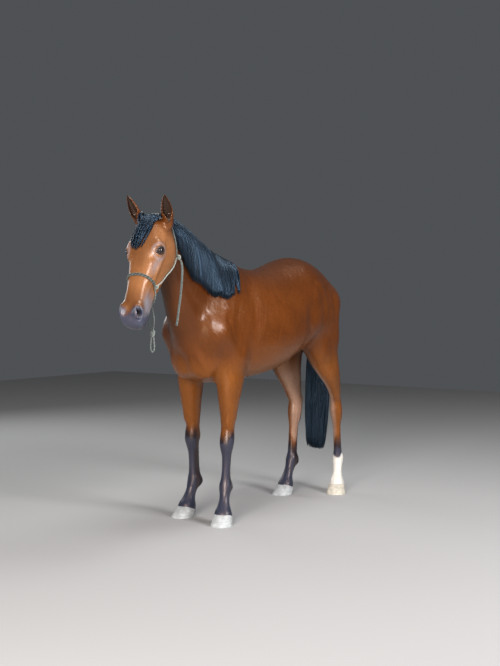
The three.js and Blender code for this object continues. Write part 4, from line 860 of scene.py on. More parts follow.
# the ears: a leaf rolled into a cup, its front half folded back into its own back
EAR_CUT = 0.034
def ear_ring(ear, t, count):
    base, along, across, out = ear_axes(ear)
    sunk = COAT_DEPTH * (1 - smooth((t - EAR_CUT) / 0.04))
    half, back, front = [float(v[0]) - sunk for v in spline(np.array([t]), EAR)]
    opened = smooth((t - EAR_CUT + 0.003) / 0.022)
    thin = min(EAR_WALL, half * 0.45, back * 0.45)
    # the edges part from a narrow slit at the base, and 0.38 of the points line the inside
    rim = EAR_RIM + (np.pi - EAR_RIM - 0.14) * (1 - smooth((t - 0.026) / 0.062))
    q = -1 + 2 * np.arange(count) / count
    k = np.where(np.abs(q) < 0.62, rim * np.abs(q) / 0.62, rim + (np.pi - rim) * (np.abs(q) - 0.62) / 0.38)
    phi = k * np.where(q < 0, -1, 1)
    pu, pw = half * np.sin(phi), -np.where(k < np.pi / 2, back, front) * np.cos(phi)
    psi = rim * (1 - (k - rim) / (np.pi - rim)) * np.sign(phi)
    fold_u = (half - thin) * np.sin(psi)
    fold_w = -(np.where(np.abs(psi) < np.pi / 2, back, front) - thin) * np.cos(psi)
    inner = k > rim
    pu = np.where(inner, pu + opened * (fold_u - pu), pu)
    pw = np.where(inner, pw + opened * (fold_w - pw), pw)
    # ridges down the inside of the cup
    pw = pw + inner * opened * 0.0012 * np.cos(psi * 9) * np.sin(np.pi * np.clip(t / 0.15, 0, 1))
    return from_head(base + along * t + pu[:, None] * across + pw[:, None] * out), inner * 1.0

EAR_AROUND, EAR_UP = 56, 44
ear_inside = {}
for ear in EARS.values():
    base, along, across, out = ear_axes(ear)
    axis = along @ HEAD_AXES
    root = from_head(base + along * EAR_CUT)
    def ear_level(p):
        return -(p - root) @ axis
    m = middles(face_points, face_faces) - root
    off = np.linalg.norm(m - (m @ axis)[:, None] * axis, axis=1)
    near = (off < 0.042) & (m @ axis > -0.012)
    face_points, face_faces, edge = cut_away(face_points, face_faces, ear_level, near)
    first = len(face_points)
    for t in np.linspace(EAR_CUT + 0.003, 0.1672, EAR_UP):
        ring, inner = ear_ring(ear, t, EAR_AROUND)
        ear_inside.update(zip(range(len(face_points), len(face_points) + EAR_AROUND), inner))
        face_points = np.vstack([face_points, ring])
    for i in range(EAR_UP - 1):
        for j in range(EAR_AROUND):
            a, b = first + i * EAR_AROUND + j, first + i * EAR_AROUND + (j + 1) % EAR_AROUND
            face_faces.append([b, a, a + EAR_AROUND, b + EAR_AROUND])
    top = first + (EAR_UP - 1) * EAR_AROUND
    face_points = np.vstack([face_points, face_points[top:].mean(0)])
    face_faces += [[top + (j + 1) % EAR_AROUND, top + j, len(face_points) - 1] for j in range(EAR_AROUND)]
    face_faces += zip_loops(face_points, edge, root, axis, range(first, first + EAR_AROUND))

# body and head in one net, closed over the seam
shift = len(body_points)
skin_points = np.vstack([body_points, face_points])
skin_faces = body_faces + [[v + shift for v in f] for f in face_faces]
seam_axis = unit(NECK_TOP - NECK_BASE)
seam_middle = NECK_BASE + seam_axis * NECK_SEAM
skin_faces += zip_loops(skin_points, body_edge, seam_middle, seam_axis,
                        {v + shift for e in face_edge for v in e})
inside_ear, on_rim = np.zeros(len(skin_points)), np.zeros(len(skin_points))
for n, amount in ear_inside.items():
    inside_ear[n + shift] = amount
on_rim[[n + shift for n in rim_points]] = 1

# colours in linear light: a rich bay with black points and one white foot, and pale greys for painted sheen
BAY, DARK_BAY, ORANGE = vec(0.108, 0.026, 0.0022), vec(0.052, 0.012, 0.0016), vec(0.235, 0.072, 0.008)
TAN, BLACK, SLATE = vec(0.31, 0.128, 0.046), vec(0.006, 0.0085, 0.017), vec(0.038, 0.054, 0.094)
WHITE, LID_GREY, PAINTED_SHEEN_LILAC = vec(0.72, 0.69, 0.62), vec(0.012, 0.013, 0.018), vec(0.34, 0.3, 0.31)
PAINTED_SHEEN_SLATE, FAWN = vec(0.24, 0.27, 0.31), vec(0.42, 0.285, 0.215)

def wobble(p, scale, seed=0.0):
    """A smooth uneven value between -1 and 1."""
    x, y, z = (p * scale).T
    return (np.sin(x + 1.7 * np.sin(0.9 * z + seed)) + np.sin(1.3 * y + 1.9 * np.sin(0.8 * x - seed))
            + np.sin(1.1 * z + 1.5 * np.sin(1.2 * y + 2 * seed))) / 3

def head_share(p):
    """0 on the neck and body, 1 on the head."""
    s, d, _ = to_head(p).T
    return smooth((s + 0.03 + 0.3 * (d + 0.16)) / 0.09) * smooth((d + 0.26) / 0.07) * (p[:, 0] > 0.85)

# heights of the edges of the black legs and of the white sock, before their unevenness
KNEE_EDGE, HOCK_EDGE, TENDON_RISE, SOCK_TOP = 0.52, 0.365, 0.27, 0.236

def paint(p):
    """The coat's colour at points on the horse, with painted shade and painted sheen in places."""
    x, y, z = p.T
    s, d, l = to_head(p).T
    la, neck_s = np.abs(l), neck_coords(x, y, z)[0]
    rgb = np.tile(BAY, (len(p), 1))
    def over(colour, amount):
        rgb[:] = rgb + (colour - rgb) * np.clip(amount, 0, 1)[:, None]
    uneven = wobble(p, 9.0)
    on_head = head_share(p)
    over(DARK_BAY, 0.8 * smooth((z - 1.28) / 0.24 + 0.1 * uneven) * (1 - on_head))
    # the neck is painted darker: painted shade on the less lit neck
    over(DARK_BAY, 0.55 * smooth((neck_s - 0.02) / 0.14) * (1 - on_head) * (x > 0.45))
    over(ORANGE, 0.55 * smooth((1.02 - z) / 0.16 + 0.12 * uneven))
    over(ORANGE, 0.35 * smooth(1 - np.abs(x - 0.02) / 0.5) * smooth((1.12 - z) / 0.2))
    # face: paler, its tan partly its own tone and partly painted light on the lit face, dark about the eyes and above
    # them, slate muzzle
    over(TAN, 0.85 * on_head * smooth((s - 0.03) / 0.1))
    over(DARK_BAY, 0.45 * on_head * smooth((d - 0.03) / 0.03) * smooth((0.46 - s) / 0.2))
    over(DARK_BAY, 0.55 * on_head * smooth((s - 0.4) / 0.12))
    eye = np.sqrt((s - EYE[0]) ** 2 + (d - EYE[1]) ** 2 + (la - EYE[2]) ** 2)
    near_eye = on_head * (eye < 0.07)
    eu, ev, _ = eye_coords(s, d, la)
    # a painted pale lilac-grey sheen beside and below the eye
    over(PAINTED_SHEEN_LILAC, 0.55 * on_head * smooth(1 - np.hypot((s - 0.3) / 0.085, (d + 0.005) / 0.036))
         * smooth((la - 0.03) / 0.03))
    over(ORANGE, 0.5 * near_eye * smooth(1.6 - np.hypot(eu / 0.04, (ev - 0.018) / 0.026)))
    # a painted highlight in a ring on the lids about the eye
    over(PAINTED_SHEEN_LILAC, 0.45 * near_eye * smooth((0.012 - np.abs(np.hypot(eu, ev + 0.004) - 0.043)) / 0.01))
    # dark lid skin about the eye, painted wide enough to take in the shade under the upper lid and lashes as well
    dark = np.maximum(np.hypot(eu + 0.002, ev + 0.013) - 0.0385, np.hypot(eu + 0.002, ev - 0.016) - 0.04)
    over(LID_GREY, 0.97 * near_eye * smooth((0.0015 - dark) / 0.004))
    # the muzzle is dark on the lips and about the nostrils, and pale along its sides as a painted sheen
    nostril = np.sqrt((s - 0.572) ** 2 + (d - 0.008) ** 2 + (la - 0.046) ** 2)
    side = smooth((0.02 - d) / 0.05) * smooth((la - 0.022) / 0.02)
    # painted pale sheen along the sides of the muzzle
    over(PAINTED_SHEEN_SLATE, 0.62 * on_head * side * smooth((s - 0.4) / 0.1) * smooth((0.02 - d) / 0.03))
    lips = smooth((s - 0.56 + 0.45 * np.maximum(0.01 - d, 0) + 0.01 * wobble(p, 60.0)) / 0.04)
    over(SLATE, 0.92 * on_head * np.maximum(lips, smooth((0.046 - nostril) / 0.02)))
    # a painted highlight on the rim of each nostril
    over(PAINTED_SHEEN_SLATE, 0.45 * on_head * smooth((0.005 - np.abs(nostril - 0.029)) / 0.005) * smooth((0.592 - s) / 0.022))
    # painted shade inside the nostril's hollow
    over(BLACK, 0.9 * on_head * smooth((0.023 - nostril) / 0.008))
    # legs: black from the knees and hocks down
    for name, leg in LEGS.items():
        lx, ly = leg_coords(x, y, z, leg)
        here = (y * leg["top"][1] > 0) & (np.hypot(lx, ly) < 0.35) & (z < 1.1)
        if leg["kind"] == "fore":
            edge = (KNEE_EDGE + 0.03 * wobble(p, 34.0, leg["out"]) - 0.25 * np.clip(-ly, -0.05, 0.05)
                    + 0.5 * np.clip(lx, -0.04, 0.04))
        else:
            # the black runs up the tendon to the point of the hock, but lies low in front
            edge = (HOCK_EDGE + 0.02 * wobble(p, 34.0, leg["out"]) + TENDON_RISE * smooth((-lx - 0.004) / 0.026)
                    - 0.05 * smooth(-ly / 0.03))
        over(BLACK, 0.96 * here * smooth((edge - z) / 0.08 + 0.5))
        clear_of_edge = 1 - smooth((0.03 - np.abs(z - edge + 0.03)) / 0.02)
        # a painted bluish sheen down the fronts of the black legs
        over(SLATE, 0.55 * here * smooth((edge - z) / 0.05) * smooth((lx - 0.004) / 0.018) * clear_of_edge)
        if leg["kind"] == "hind":
            over(FAWN, 0.55 * here * smooth((-ly + 0.01) / 0.03) * smooth((z - edge) / 0.05)
                 * smooth((0.95 - z) / 0.2))
        if name == "left_hind":
            sock = SOCK_TOP + 0.014 * wobble(p, 70.0, 1.0) + 0.9 * np.clip(np.abs(ly) - 0.008, 0, 0.03)
            over(WHITE, here * smooth((sock - z) / 0.01 + 0.5))
    # dock, sheath-side and groin skin are dark
    over(BLACK, 0.9 * smooth((-0.775 - x) / 0.02) * smooth((z - 1.22) / 0.06) * smooth((0.05 - np.abs(y)) / 0.02))
    over(LID_GREY, 0.7 * smooth((0.05 - np.abs(y)) / 0.04) * smooth((-0.3 - x) / 0.08) * smooth((1.02 - z) / 0.05)
         * smooth((z - 0.8) / 0.04) * smooth((x + 0.66) / 0.05))
    return rgb

# the way the hair lies at each point: back along the body, down the limbs and the face
def lie(p, normal):
    x, y, z = p.T
    on_head = head_share(p)
    on_neck = smooth((x - 0.45) / 0.2) * (1 - on_head)
    on_leg = smooth((1.02 - z) / 0.16)
    way = np.zeros_like(p) + vec(-0.95, 0, -0.32)
    way += on_neck[:, None] * (vec(-0.15, 0, -0.75) - way * 0.3)
    way += on_leg[:, None] * (vec(0.02, 0, -1.0) - way)
    way += on_head[:, None] * (HEAD_AXES[0] - way)
    # the whorl of the flank, where the hair turns up and forward
    flank = vec(-0.34, 0, 1.1)
    r = np.hypot(x - flank[0], z - flank[2])
    turn = np.exp(-(r / 0.14) ** 2)[:, None]
    swirl = np.stack([-(z - flank[2]), 0 * x, x - flank[0]], 1) / (r[:, None] + 0.02)
    way = way * (1 - 0.8 * turn) + swirl * turn * 0.9
    way = way - normal * (way * normal).sum(1)[:, None]
    return unit(way + 1e-6)

skin = make_mesh("skin", skin_points, skin_faces)
skin_color = paint(skin_points)
skin_color = skin_color * (1 - on_rim)[:, None] + vec(0.02, 0.016, 0.017) * on_rim[:, None]
# the insides of the ear cups and the hollow down into their roots are painted dark: painted shade
for ear in EARS.values():
    up_ear = (to_head(skin_points) - ear_axes(ear)[0]) @ ear_axes(ear)[1]
    hollow = smooth((0.006 - ear_opening(*to_head(skin_points).T, ear)) / 0.003) * smooth((up_ear - 0.008) / 0.02)
    inside_ear = np.maximum(inside_ear, hollow * (from_seam(skin_points) > 0))
ear_painted_shade = (0.92 * inside_ear)[:, None]
skin_color = skin_color * (1 - ear_painted_shade) + vec(0.02, 0.013, 0.011) * ear_painted_shade

def value_layer(piece, name, values):
    piece.data.attributes.new(name, "FLOAT", "POINT").data.foreach_set("value", values.astype(np.float32))

colour_layer(skin, skin_color)
value_layer(skin, "down", smooth((1.02 - skin_points[:, 2]) / 0.16))
value_layer(skin, "face", head_share(skin_points))
value_layer(skin, "bare", np.clip(on_rim + smooth((to_head(skin_points)[:, 0] - 0.52) / 0.03)
                                  * (skin_points[:, 0] > 1.0), 0, 1))

def streaks(tree, place, direction, fine, length):
    """Fine noise drawn out along a direction."""
    turn = Vector(direction).to_track_quat("X", "Z").to_euler()
    along = add(tree, "ShaderNodeMapping", {"Vector": place, "Rotation": turn, "Scale": (length, fine, fine)},
                vector_type="TEXTURE")
    return add(tree, "ShaderNodeTexNoise", {"Vector": along.outputs[0], "Scale": 1.0, "Detail": 2.0,
                                            "Roughness": 0.6}).outputs[0]

skin_material, tree, shader = new_material("bay skin", Roughness=0.4, Coat_Weight=0.34, Coat_Roughness=0.24,
                                           Specular_Tint=(1.0, 0.62, 0.36, 1))
place = add(tree, "ShaderNodeTexCoord").outputs["Object"]
back_way = streaks(tree, place, (-0.95, 0, -0.32), 0.0011, 0.016)
down_way = streaks(tree, place, (0, 0, -1), 0.001, 0.014)
face_way = streaks(tree, place, HEAD_AXES[0], 0.0007, 0.007)
hair = add(tree, "ShaderNodeMix", {0: attribute(tree, "down").outputs["Fac"], 2: back_way, 3: down_way}).outputs[0]
hair = add(tree, "ShaderNodeMix", {0: attribute(tree, "face").outputs["Fac"], 2: hair, 3: face_way}).outputs[0]
patches = add(tree, "ShaderNodeTexNoise", {"Vector": place, "Scale": 7.0, "Detail": 3.0}).outputs[0]
pores = add(tree, "ShaderNodeTexNoise", {"Vector": place, "Scale": 900.0, "Detail": 2.0}).outputs[0]
lighter = add(tree, "ShaderNodeMath", {0: map_range(tree, hair, 0.3, 0.7, 0.72, 1.3),
                                       1: map_range(tree, patches, 0.3, 0.7, 0.86, 1.14)}, operation="MULTIPLY")
colour = scaled_colour(tree, attribute(tree, "paint").outputs["Color"], lighter.outputs[0])
tree.links.new(colour, shader.inputs["Base Color"])
bare = attribute(tree, "bare").outputs["Fac"]
height = add(tree, "ShaderNodeMix", {0: bare, 2: hair, 3: pores}).outputs[0]
# the skin slides in shallow ripples over the muscles
ripples = add(tree, "ShaderNodeMix", {0: attribute(tree, "down").outputs["Fac"],
                                      2: streaks(tree, place, (0.3, 0, -1), 0.03, 0.17),
                                      3: streaks(tree, place, (0, 0, -1), 0.016, 0.1)}).outputs[0]
calm = map_range(tree, attribute(tree, "face").outputs["Fac"], 0, 1, 0.85, 0.25)
wave = add(tree, "ShaderNodeBump", {"Strength": calm, "Distance": 0.005, "Height": ripples})
bump = add(tree, "ShaderNodeBump", {"Strength": 0.55, "Distance": 0.0009, "Height": height,
                                    "Normal": wave.outputs[0]})
tree.links.new(bump.outputs[0], shader.inputs["Normal"])
rough = add(tree, "ShaderNodeMath", {0: map_range(tree, patches, 0.2, 0.8, 0.3, 0.44),
                                     1: map_range(tree, bare, 0, 1, 0, 0.08)}, operation="ADD")
tree.links.new(rough.outputs[0], shader.inputs["Roughness"])
skin.data.materials.append(skin_material)
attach(skin, "root")
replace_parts(skin, "trunk", "neck", "head", "left_ear", "right_ear", "left_foreleg", "right_foreleg",
            "left_hind_leg", "right_hind_leg")

# ---------------------------------------------------------------- eyes
# Large dark brown eyes under clear, wet corneas, each with a pupil lying level and a
# narrow dark edge to the iris. They sit in the skin's almond openings.
def grid_faces(rows, count, first=0):
    """Faces of a closed band of rings, outward for rings that run up the axis."""
    i, j = np.meshgrid(np.arange(rows - 1), np.arange(count), indexing="ij")
    a, b = first + i * count + j, first + i * count + (j + 1) % count
    return np.stack([a, b, b + count, a + count], -1).reshape(-1, 4).tolist()

EYE_ROWS, EYE_AROUND = 40, 56
CORNEA_WIDE, CORNEA_RISE = 0.0165, 0.0016
eye_material, tree, shader = new_material("wet eye", Roughness=0.22, IOR=1.38, Coat_Weight=1.0,
                                          Coat_Roughness=0.015, Coat_IOR=1.38)
eye_map = add(tree, "ShaderNodeUVMap", uv_map="eye").outputs[0]
centred = add(tree, "ShaderNodeVectorMath", {0: eye_map, 1: (0.5, 0.5, 0)}, operation="SUBTRACT").outputs[0]
iris_reach = add(tree, "ShaderNodeVectorMath", {0: centred, 1: (1.0, 1.25, 0)}, operation="MULTIPLY")
iris_reach = add(tree, "ShaderNodeVectorMath", {0: iris_reach.outputs[0]}, operation="LENGTH").outputs["Value"]
pupil_reach = add(tree, "ShaderNodeVectorMath", {0: centred, 1: (1.0, 1.9, 0)}, operation="MULTIPLY")
pupil_reach = add(tree, "ShaderNodeVectorMath", {0: pupil_reach.outputs[0]}, operation="LENGTH").outputs["Value"]
fibres = add(tree, "ShaderNodeTexNoise", {"Vector": eye_map, "Scale": 60.0, "Detail": 3.0}).outputs[0]
iris = add(tree, "ShaderNodeMix", {0: fibres, 6: (0.008, 0.004, 0.003, 1), 7: (0.03, 0.013, 0.007, 1)},
           data_type="RGBA").outputs[2]
inner = map_range(tree, pupil_reach, 0.19, 0.215, 0, 1)
iris = add(tree, "ShaderNodeMix", {0: inner, 6: (0.003, 0.004, 0.007, 1), 7: iris}, data_type="RGBA").outputs[2]
outer = map_range(tree, iris_reach, 0.385, 0.43, 0, 1)
whole = add(tree, "ShaderNodeMix", {0: outer, 6: iris, 7: (0.02, 0.016, 0.016, 1)}, data_type="RGBA").outputs[2]
tree.links.new(whole, shader.inputs["Base Color"])

for name, side in (("left_eye", 1), ("right_eye", -1)):
    centre, u, v, w = eye_frame(side)
    polar = np.linspace(0.02, np.pi - 0.02, EYE_ROWS)[:, None]
    around = (2 * np.pi * np.arange(EYE_AROUND) / EYE_AROUND)[None]
    across = EYE_RADIUS * np.sin(polar)
    radius = EYE_RADIUS + CORNEA_RISE * smooth((CORNEA_WIDE - across) / 0.006) * (polar < 1.5)
    pu, pv, pw = (radius * np.sin(polar) * np.cos(around), radius * np.sin(polar) * np.sin(around),
                  radius * np.cos(polar) + 0 * around)
    points = (centre + pu[..., None] * u + pv[..., None] * v + pw[..., None] * w).reshape(-1, 3)
    poles = centre + np.outer([EYE_RADIUS + CORNEA_RISE, -EYE_RADIUS], w)
    faces = grid_faces(EYE_ROWS, EYE_AROUND)
    top, last = EYE_ROWS * EYE_AROUND, (EYE_ROWS - 1) * EYE_AROUND
    faces += [[top, (k + 1) % EYE_AROUND, k] for k in range(EYE_AROUND)]
    faces += [[top + 1, last + k, last + (k + 1) % EYE_AROUND] for k in range(EYE_AROUND)]
    if side < 0:
        faces = [f[::-1] for f in faces]
    eyeball = make_mesh("left_eyeball" if side > 0 else "right_eyeball", np.vstack([points, poles]), faces)
    place = in_eye(np.vstack([points, poles]), side)[:, :2] / (2 * EYE_RADIUS) + 0.5
    layer = eyeball.data.uv_layers.new(name="eye")
    corner = np.empty(len(eyeball.data.loops), int)
    eyeball.data.loops.foreach_get("vertex_index", corner)
    layer.data.foreach_set("uv", place[corner].astype(np.float32).ravel())
    eyeball.data.materials.append(eye_material)
    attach(eyeball, "root")
    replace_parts(eyeball, name)

# ---------------------------------------------------------------- hooves
# Walls of grey-white horn that grow down from the coronet in faint rings, rasped smooth and
# dusty, each with a flat rim to stand on and a shallow hollow sole inside it.
HOOF_AROUND = 72
def hoof_outline(z, leg, a, shrink=0.0):
    reach = SPEC[leg["kind"]]["ankle"]
    front, back, wide = reach + 0.067 - 0.8 * z, reach - 0.062 - 0.55 * z, 0.063 - 0.17 * z
    power = lambda v: np.sign(v) * np.abs(v) ** (2 / 2.3)
    half = (front - back) / 2
    return (front + back) / 2 + (half - shrink) * power(np.cos(a)), (wide - shrink) * power(np.sin(a))

def coronet_height(lx, leg):
    return 0.054 + 0.37 * (lx - SPEC[leg["kind"]]["ankle"] + 0.035)

def hoof_ring(share, leg, a):
    """A ring of the wall, its share of the way from the floor to the coronet."""
    z = np.full(len(a), 0.054)
    for _ in range(6):
        lx, _ = hoof_outline(z, leg, a)
        z = coronet_height(lx, leg) - 0.0003
    z = z * share
    grown = (0.0004 * np.sin(share * 46 + 1.2 * np.sin(a))
             + 0.0003 * wobble(np.stack([np.cos(a), np.sin(a), z * 40], 1), 3.0))
    edge = 0.0016 * smooth((share - 0.9) / 0.1) + 0.0012 * smooth((0.05 - share) / 0.05)
    lx, ly = hoof_outline(z, leg, a, -grown + edge)
    return leg_world(lx, ly, z, leg)

hoof_material, tree, shader = new_material("hoof horn", Roughness=0.62)
place = add(tree, "ShaderNodeTexCoord").outputs["Object"]
grain = streaks(tree, place, (0, 0, 1), 0.0012, 0.02)
rings = add(tree, "ShaderNodeTexNoise", {"Vector": add(tree, "ShaderNodeMapping", {
    "Vector": place, "Scale": (6, 6, 260)}).outputs[0], "Scale": 1.0, "Detail": 2.0}).outputs[0]
dust = add(tree, "ShaderNodeTexNoise", {"Vector": place, "Scale": 38.0, "Detail": 4.0}).outputs[0]
shade = add(tree, "ShaderNodeMath", {0: map_range(tree, grain, 0.3, 0.7, 0.82, 1.12),
                                     1: map_range(tree, rings, 0.3, 0.7, 0.88, 1.08)},
            operation="MULTIPLY").outputs[0]
shade = add(tree, "ShaderNodeMath", {0: shade, 1: map_range(tree, dust, 0.35, 0.7, 0.8, 1.15)},
            operation="MULTIPLY").outputs[0]
tree.links.new(scaled_colour(tree, attribute(tree, "paint").outputs["Color"], shade), shader.inputs["Base Color"])
bump = add(tree, "ShaderNodeBump", {"Strength": 0.4, "Distance": 0.0006, "Height": rings})
tree.links.new(bump.outputs[0], shader.inputs["Normal"])

for name, leg in LEGS.items():
    a = 2 * np.pi * np.arange(HOOF_AROUND) / HOOF_AROUND
    wall = [hoof_ring(share, leg, a) for share in np.r_[0, 0.015, 0.05, np.linspace(0.1, 0.9, 22), 0.95, 0.985, 1]]
    sole_edge = hoof_outline(0 * a, leg, a, 0.0065)
    sole_rise = hoof_outline(0 * a, leg, a, 0.0095)
    inner = [leg_world(*sole_edge, 0 * a, leg), leg_world(*sole_rise, 0 * a + 0.003, leg)]
    middle = leg_world(np.array([SPEC[leg["kind"]]["ankle"] - 0.005]), np.array([0.0]), np.array([0.0055]), leg)
    low = hoof_outline(0 * a, leg, a, 0.034)
    inner.append(leg_world(*low, 0 * a + 0.005, leg))
    collar = hoof_ring(1.0, leg, a)
    hub = collar.mean(0)
    collar = hub + (collar - hub) * vec(0.86, 0.86, 1)
    rings_up = inner[::-1] + wall + [collar]
    points = np.vstack(rings_up + [middle, hub[None] - vec(0, 0, 0.004)])
    faces = grid_faces(len(rings_up), HOOF_AROUND)
    base, last = len(rings_up) * HOOF_AROUND, (len(rings_up) - 1) * HOOF_AROUND
    hub_at = base + 1
    faces += [[base, (k + 1) % HOOF_AROUND, k] for k in range(HOOF_AROUND)]
    faces += [[hub_at, last + k, last + (k + 1) % HOOF_AROUND] for k in range(HOOF_AROUND)]
    if leg["top"][1] < 0:
        faces = [f[::-1] for f in faces]
    hoof = make_mesh(name + "_hoof_horn", points, faces)
    pale = vec(0.68, 0.62, 0.5) if name == "left_hind" else vec(0.54, 0.56, 0.55)
    up = np.clip(points[:, 2:] / 0.075, 0, 1)
    tone = pale * (1 - 0.25 * up) + vec(0.1, 0.08, 0.06) * 0.15 * up
    colour_layer(hoof, tone)
    hoof.data.materials.append(hoof_material)
    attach(hoof, "root")
    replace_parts(hoof, name + "_hoof")

# ---------------------------------------------------------------- mane, forelock and tail
# Coarse, straight black hair, its tones and reflections tinted blue as a painted sheen. The mane
# falls to the left of the crest and is trimmed level above the shoulder, the forelock hangs between
# the ears to above the right eye, and the tail falls from the dock to the fetlocks, cut blunt. Each is made of flat
# locks.
HAIR_SEED = 7
BAKE_PATCH = 0.003

# where each patch of skin goes on a flat sheet: six sides for each part of the body
CHART_SIZES = {"body": (2.1, 0.66, 1.25), "head": (0.85, 0.55, 0.36), "leg": (0.75, 0.45, 1.2)}
CHARTS, SHEET = {}, 6.4
def lay_out_charts():
    x, y, row = 0.0, 0.0, 0.0
    parts = ["body", "head"] + ["leg%d" % k for k in range(4)]
    for part in parts:
        size = CHART_SIZES[part[:3] if part[:3] == "leg" else part]
        for axis in range(3):
            w, h = [size[k] for k in range(3) if k != axis]
            for face in (0, 1):
                if x + w > SHEET:
                    x, y, row = 0.0, y + row + 0.02, 0.0
                CHARTS[part, axis, face] = (x, y)
                x, row = x + w + 0.02, max(row, h)

lay_out_charts()

def bake_place(p, normal):
    """Place of skin points on the sheet, each chart seen along its own axis."""
    out = np.zeros((len(p), 2))
    head = from_seam(p) > 0
    local_head = to_head(p) + vec(0.12, 0.33, 0.18)
    in_leg = np.full(len(p), -1)
    for k, leg in enumerate(LEGS.values()):
        in_leg[(p[:, 2] < 0.95) & (p[:, 1] * leg["top"][1] > 0) & (np.abs(p[:, 0] - leg["top"][0]) < 0.36)] = k
    for part in ["body", "head"] + ["leg%d" % k for k in range(4)]:
        if part == "body":
            mine, local, n = ~head & (in_leg < 0), p + vec(0.98, 0.33, -0.68), normal
        elif part == "head":
            mine, local, n = head, local_head, normal @ HEAD_AXES.T
        else:
            leg = list(LEGS.values())[int(part[3])]
            mine, n = ~head & (in_leg == int(part[3])), normal
            local = p - vec(leg["top"][0] - 0.37, 0, 0)
            local[:, 1] = local[:, 1] * np.sign(leg["top"][1]) + 0.02
        axis = np.abs(n).argmax(1)
        face = np.take_along_axis(n, axis[:, None], 1)[:, 0] < 0
        for k in range(3):
            flat = [c for c in range(3) if c != k]
            for f in (0, 1):
                pick = mine & (axis == k) & (face == f)
                out[pick] = local[pick][:, flat] + CHARTS[part, k, f]
    return np.clip(out / SHEET, 0.001, 0.996)

def make_locks(name, lines, out, width, thick, roots, tone, sides=4, limit=190000, lying=0.0):
    """Flat closed locks along lines (lock, point, xyz), in pieces under the limit; out points
    away from the body, roots are their places on the sheet. Where locks lie on the skin, they
    take its normals by that share, as short hair takes the sheen of the form below it."""
    count, rows = lines.shape[:2]
    per_lock = (rows - 1) * sides * 2 + 2 * (sides - 2)
    step = limit // per_lock
    tangent = unit(np.gradient(lines, axis=1))
    side = unit(np.cross(out, tangent))
    up = np.cross(tangent, side)
    a = 2 * np.pi * np.arange(sides) / sides + np.pi / 2
    ring = (np.cos(a)[:, None] * side[:, :, None] * width[:, :, None, None] / 2
            + np.sin(a)[:, None] * up[:, :, None] * thick[:, :, None, None] / 2)
    points = lines[:, :, None] + ring
    last = np.arange((rows - 1) * sides, rows * sides)
    one = grid_faces(rows, sides) + [list(range(sides))[::-1], last.tolist()]
    made = []
    for start in range(0, count, step):
        n = min(step, count - start)
        faces = [[v + k * rows * sides for v in f] for k in range(n) for f in one]
        piece = make_mesh("%s_%d" % (name, len(made) + 1), points[start:start + n].reshape(-1, 3), faces)
        place = roots[start:start + n, None, None] + BAKE_PATCH * np.stack(np.broadcast_arrays(
            (np.arange(sides) / sides)[None, None], (np.arange(rows) / rows)[None, :, None]), -1)
        place = np.broadcast_to(place, (n, rows, sides, 2)).reshape(-1, 2)
        corner = np.empty(len(piece.data.loops), int)
        piece.data.loops.foreach_get("vertex_index", corner)
        piece.data.uv_layers.new(name="OFBake").data.foreach_set("uv", place[corner].astype(np.float32).ravel())
        shade = np.broadcast_to(tone[start:start + n, None, None], (n, rows, sides, 3)).reshape(-1, 3)
        colour_layer(piece, shade)
        if lying:
            bend = unit(ring[start:start + n] + 1e-9) * (1 - lying) + out[start:start + n, :, None] * lying
            piece.data.normals_split_custom_set_from_vertices(unit(bend).reshape(-1, 3))
        along = np.broadcast_to((np.arange(rows) / (rows - 1))[None, :, None], (n, rows, sides))
        value_layer(piece, "along", along.reshape(-1))
        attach(piece, "root")
        made.append(piece)
    return made

# the blue tint of the reflections and of the sheen is a painted blue sheen
hair_material, tree, shader = new_material("black hair with painted blue sheen", Roughness=0.34, Specular_IOR_Level=0.75,
                                           Specular_Tint=(0.42, 0.7, 1.0, 1), Sheen_Weight=0.05,
                                           Sheen_Roughness=0.35, Sheen_Tint=(0.3, 0.6, 0.9, 1))
place = add(tree, "ShaderNodeTexCoord").outputs["Object"]
strand = streaks(tree, place, (-0.1, 0, -1), 0.001, 0.05)
colour = scaled_colour(tree, attribute(tree, "paint").outputs["Color"], map_range(tree, strand, 0.3, 0.7, 0.55, 1.6))
tree.links.new(colour, shader.inputs["Base Color"])
bump = add(tree, "ShaderNodeBump", {"Strength": 0.6, "Distance": 0.0008, "Height": strand})
tree.links.new(bump.outputs[0], shader.inputs["Normal"])

# tones of black hair, most tinted blue as a painted sheen
HAIR_TONES = np.array([(0.004, 0.0062, 0.0105), (0.006, 0.0105, 0.0185), (0.007, 0.006, 0.0072),
                       (0.0024, 0.0032, 0.0052)])
def hair_tones(rng, count):
    return HAIR_TONES[rng.integers(0, len(HAIR_TONES), count)] * rng.uniform(0.8, 1.3, (count, 1))

def finish_hair(pieces, node):
    for piece in pieces:
        piece.data.materials.append(hair_material)
    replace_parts(pieces[0], node)

def taper(rows, root=0.5, tip=0.12, last=0.22):
    """Width along a lock: narrow at the root, full, then down to the tip."""
    v = np.linspace(0, 1, rows)
    return (root + (1 - root) * smooth(v / 0.12)) * (tip + (1 - tip) * smooth((1 - v) / last))

# the crest of the neck from the poll to the withers: u, x, y, z, how far the mane falls
CREST = [
    (0.0, 1.02, 0.088, 1.8, 0.17), (0.2, 0.9, 0.06, 1.79, 0.33), (0.4, 0.775, 0.031, 1.72, 0.37),
    (0.6, 0.66, 0.014, 1.66, 0.385), (0.8, 0.545, 0.006, 1.6, 0.36), (1.0, 0.365, 0.0, 1.545, 0.335),
]
MANE_GUIDES, MANE_STEPS = 48, 22
guide_u = np.linspace(0, 1, MANE_GUIDES)
cx, cy, cz, drop = spline(guide_u, CREST)
start = settle(np.stack([cx, cy, cz], 1), 0)

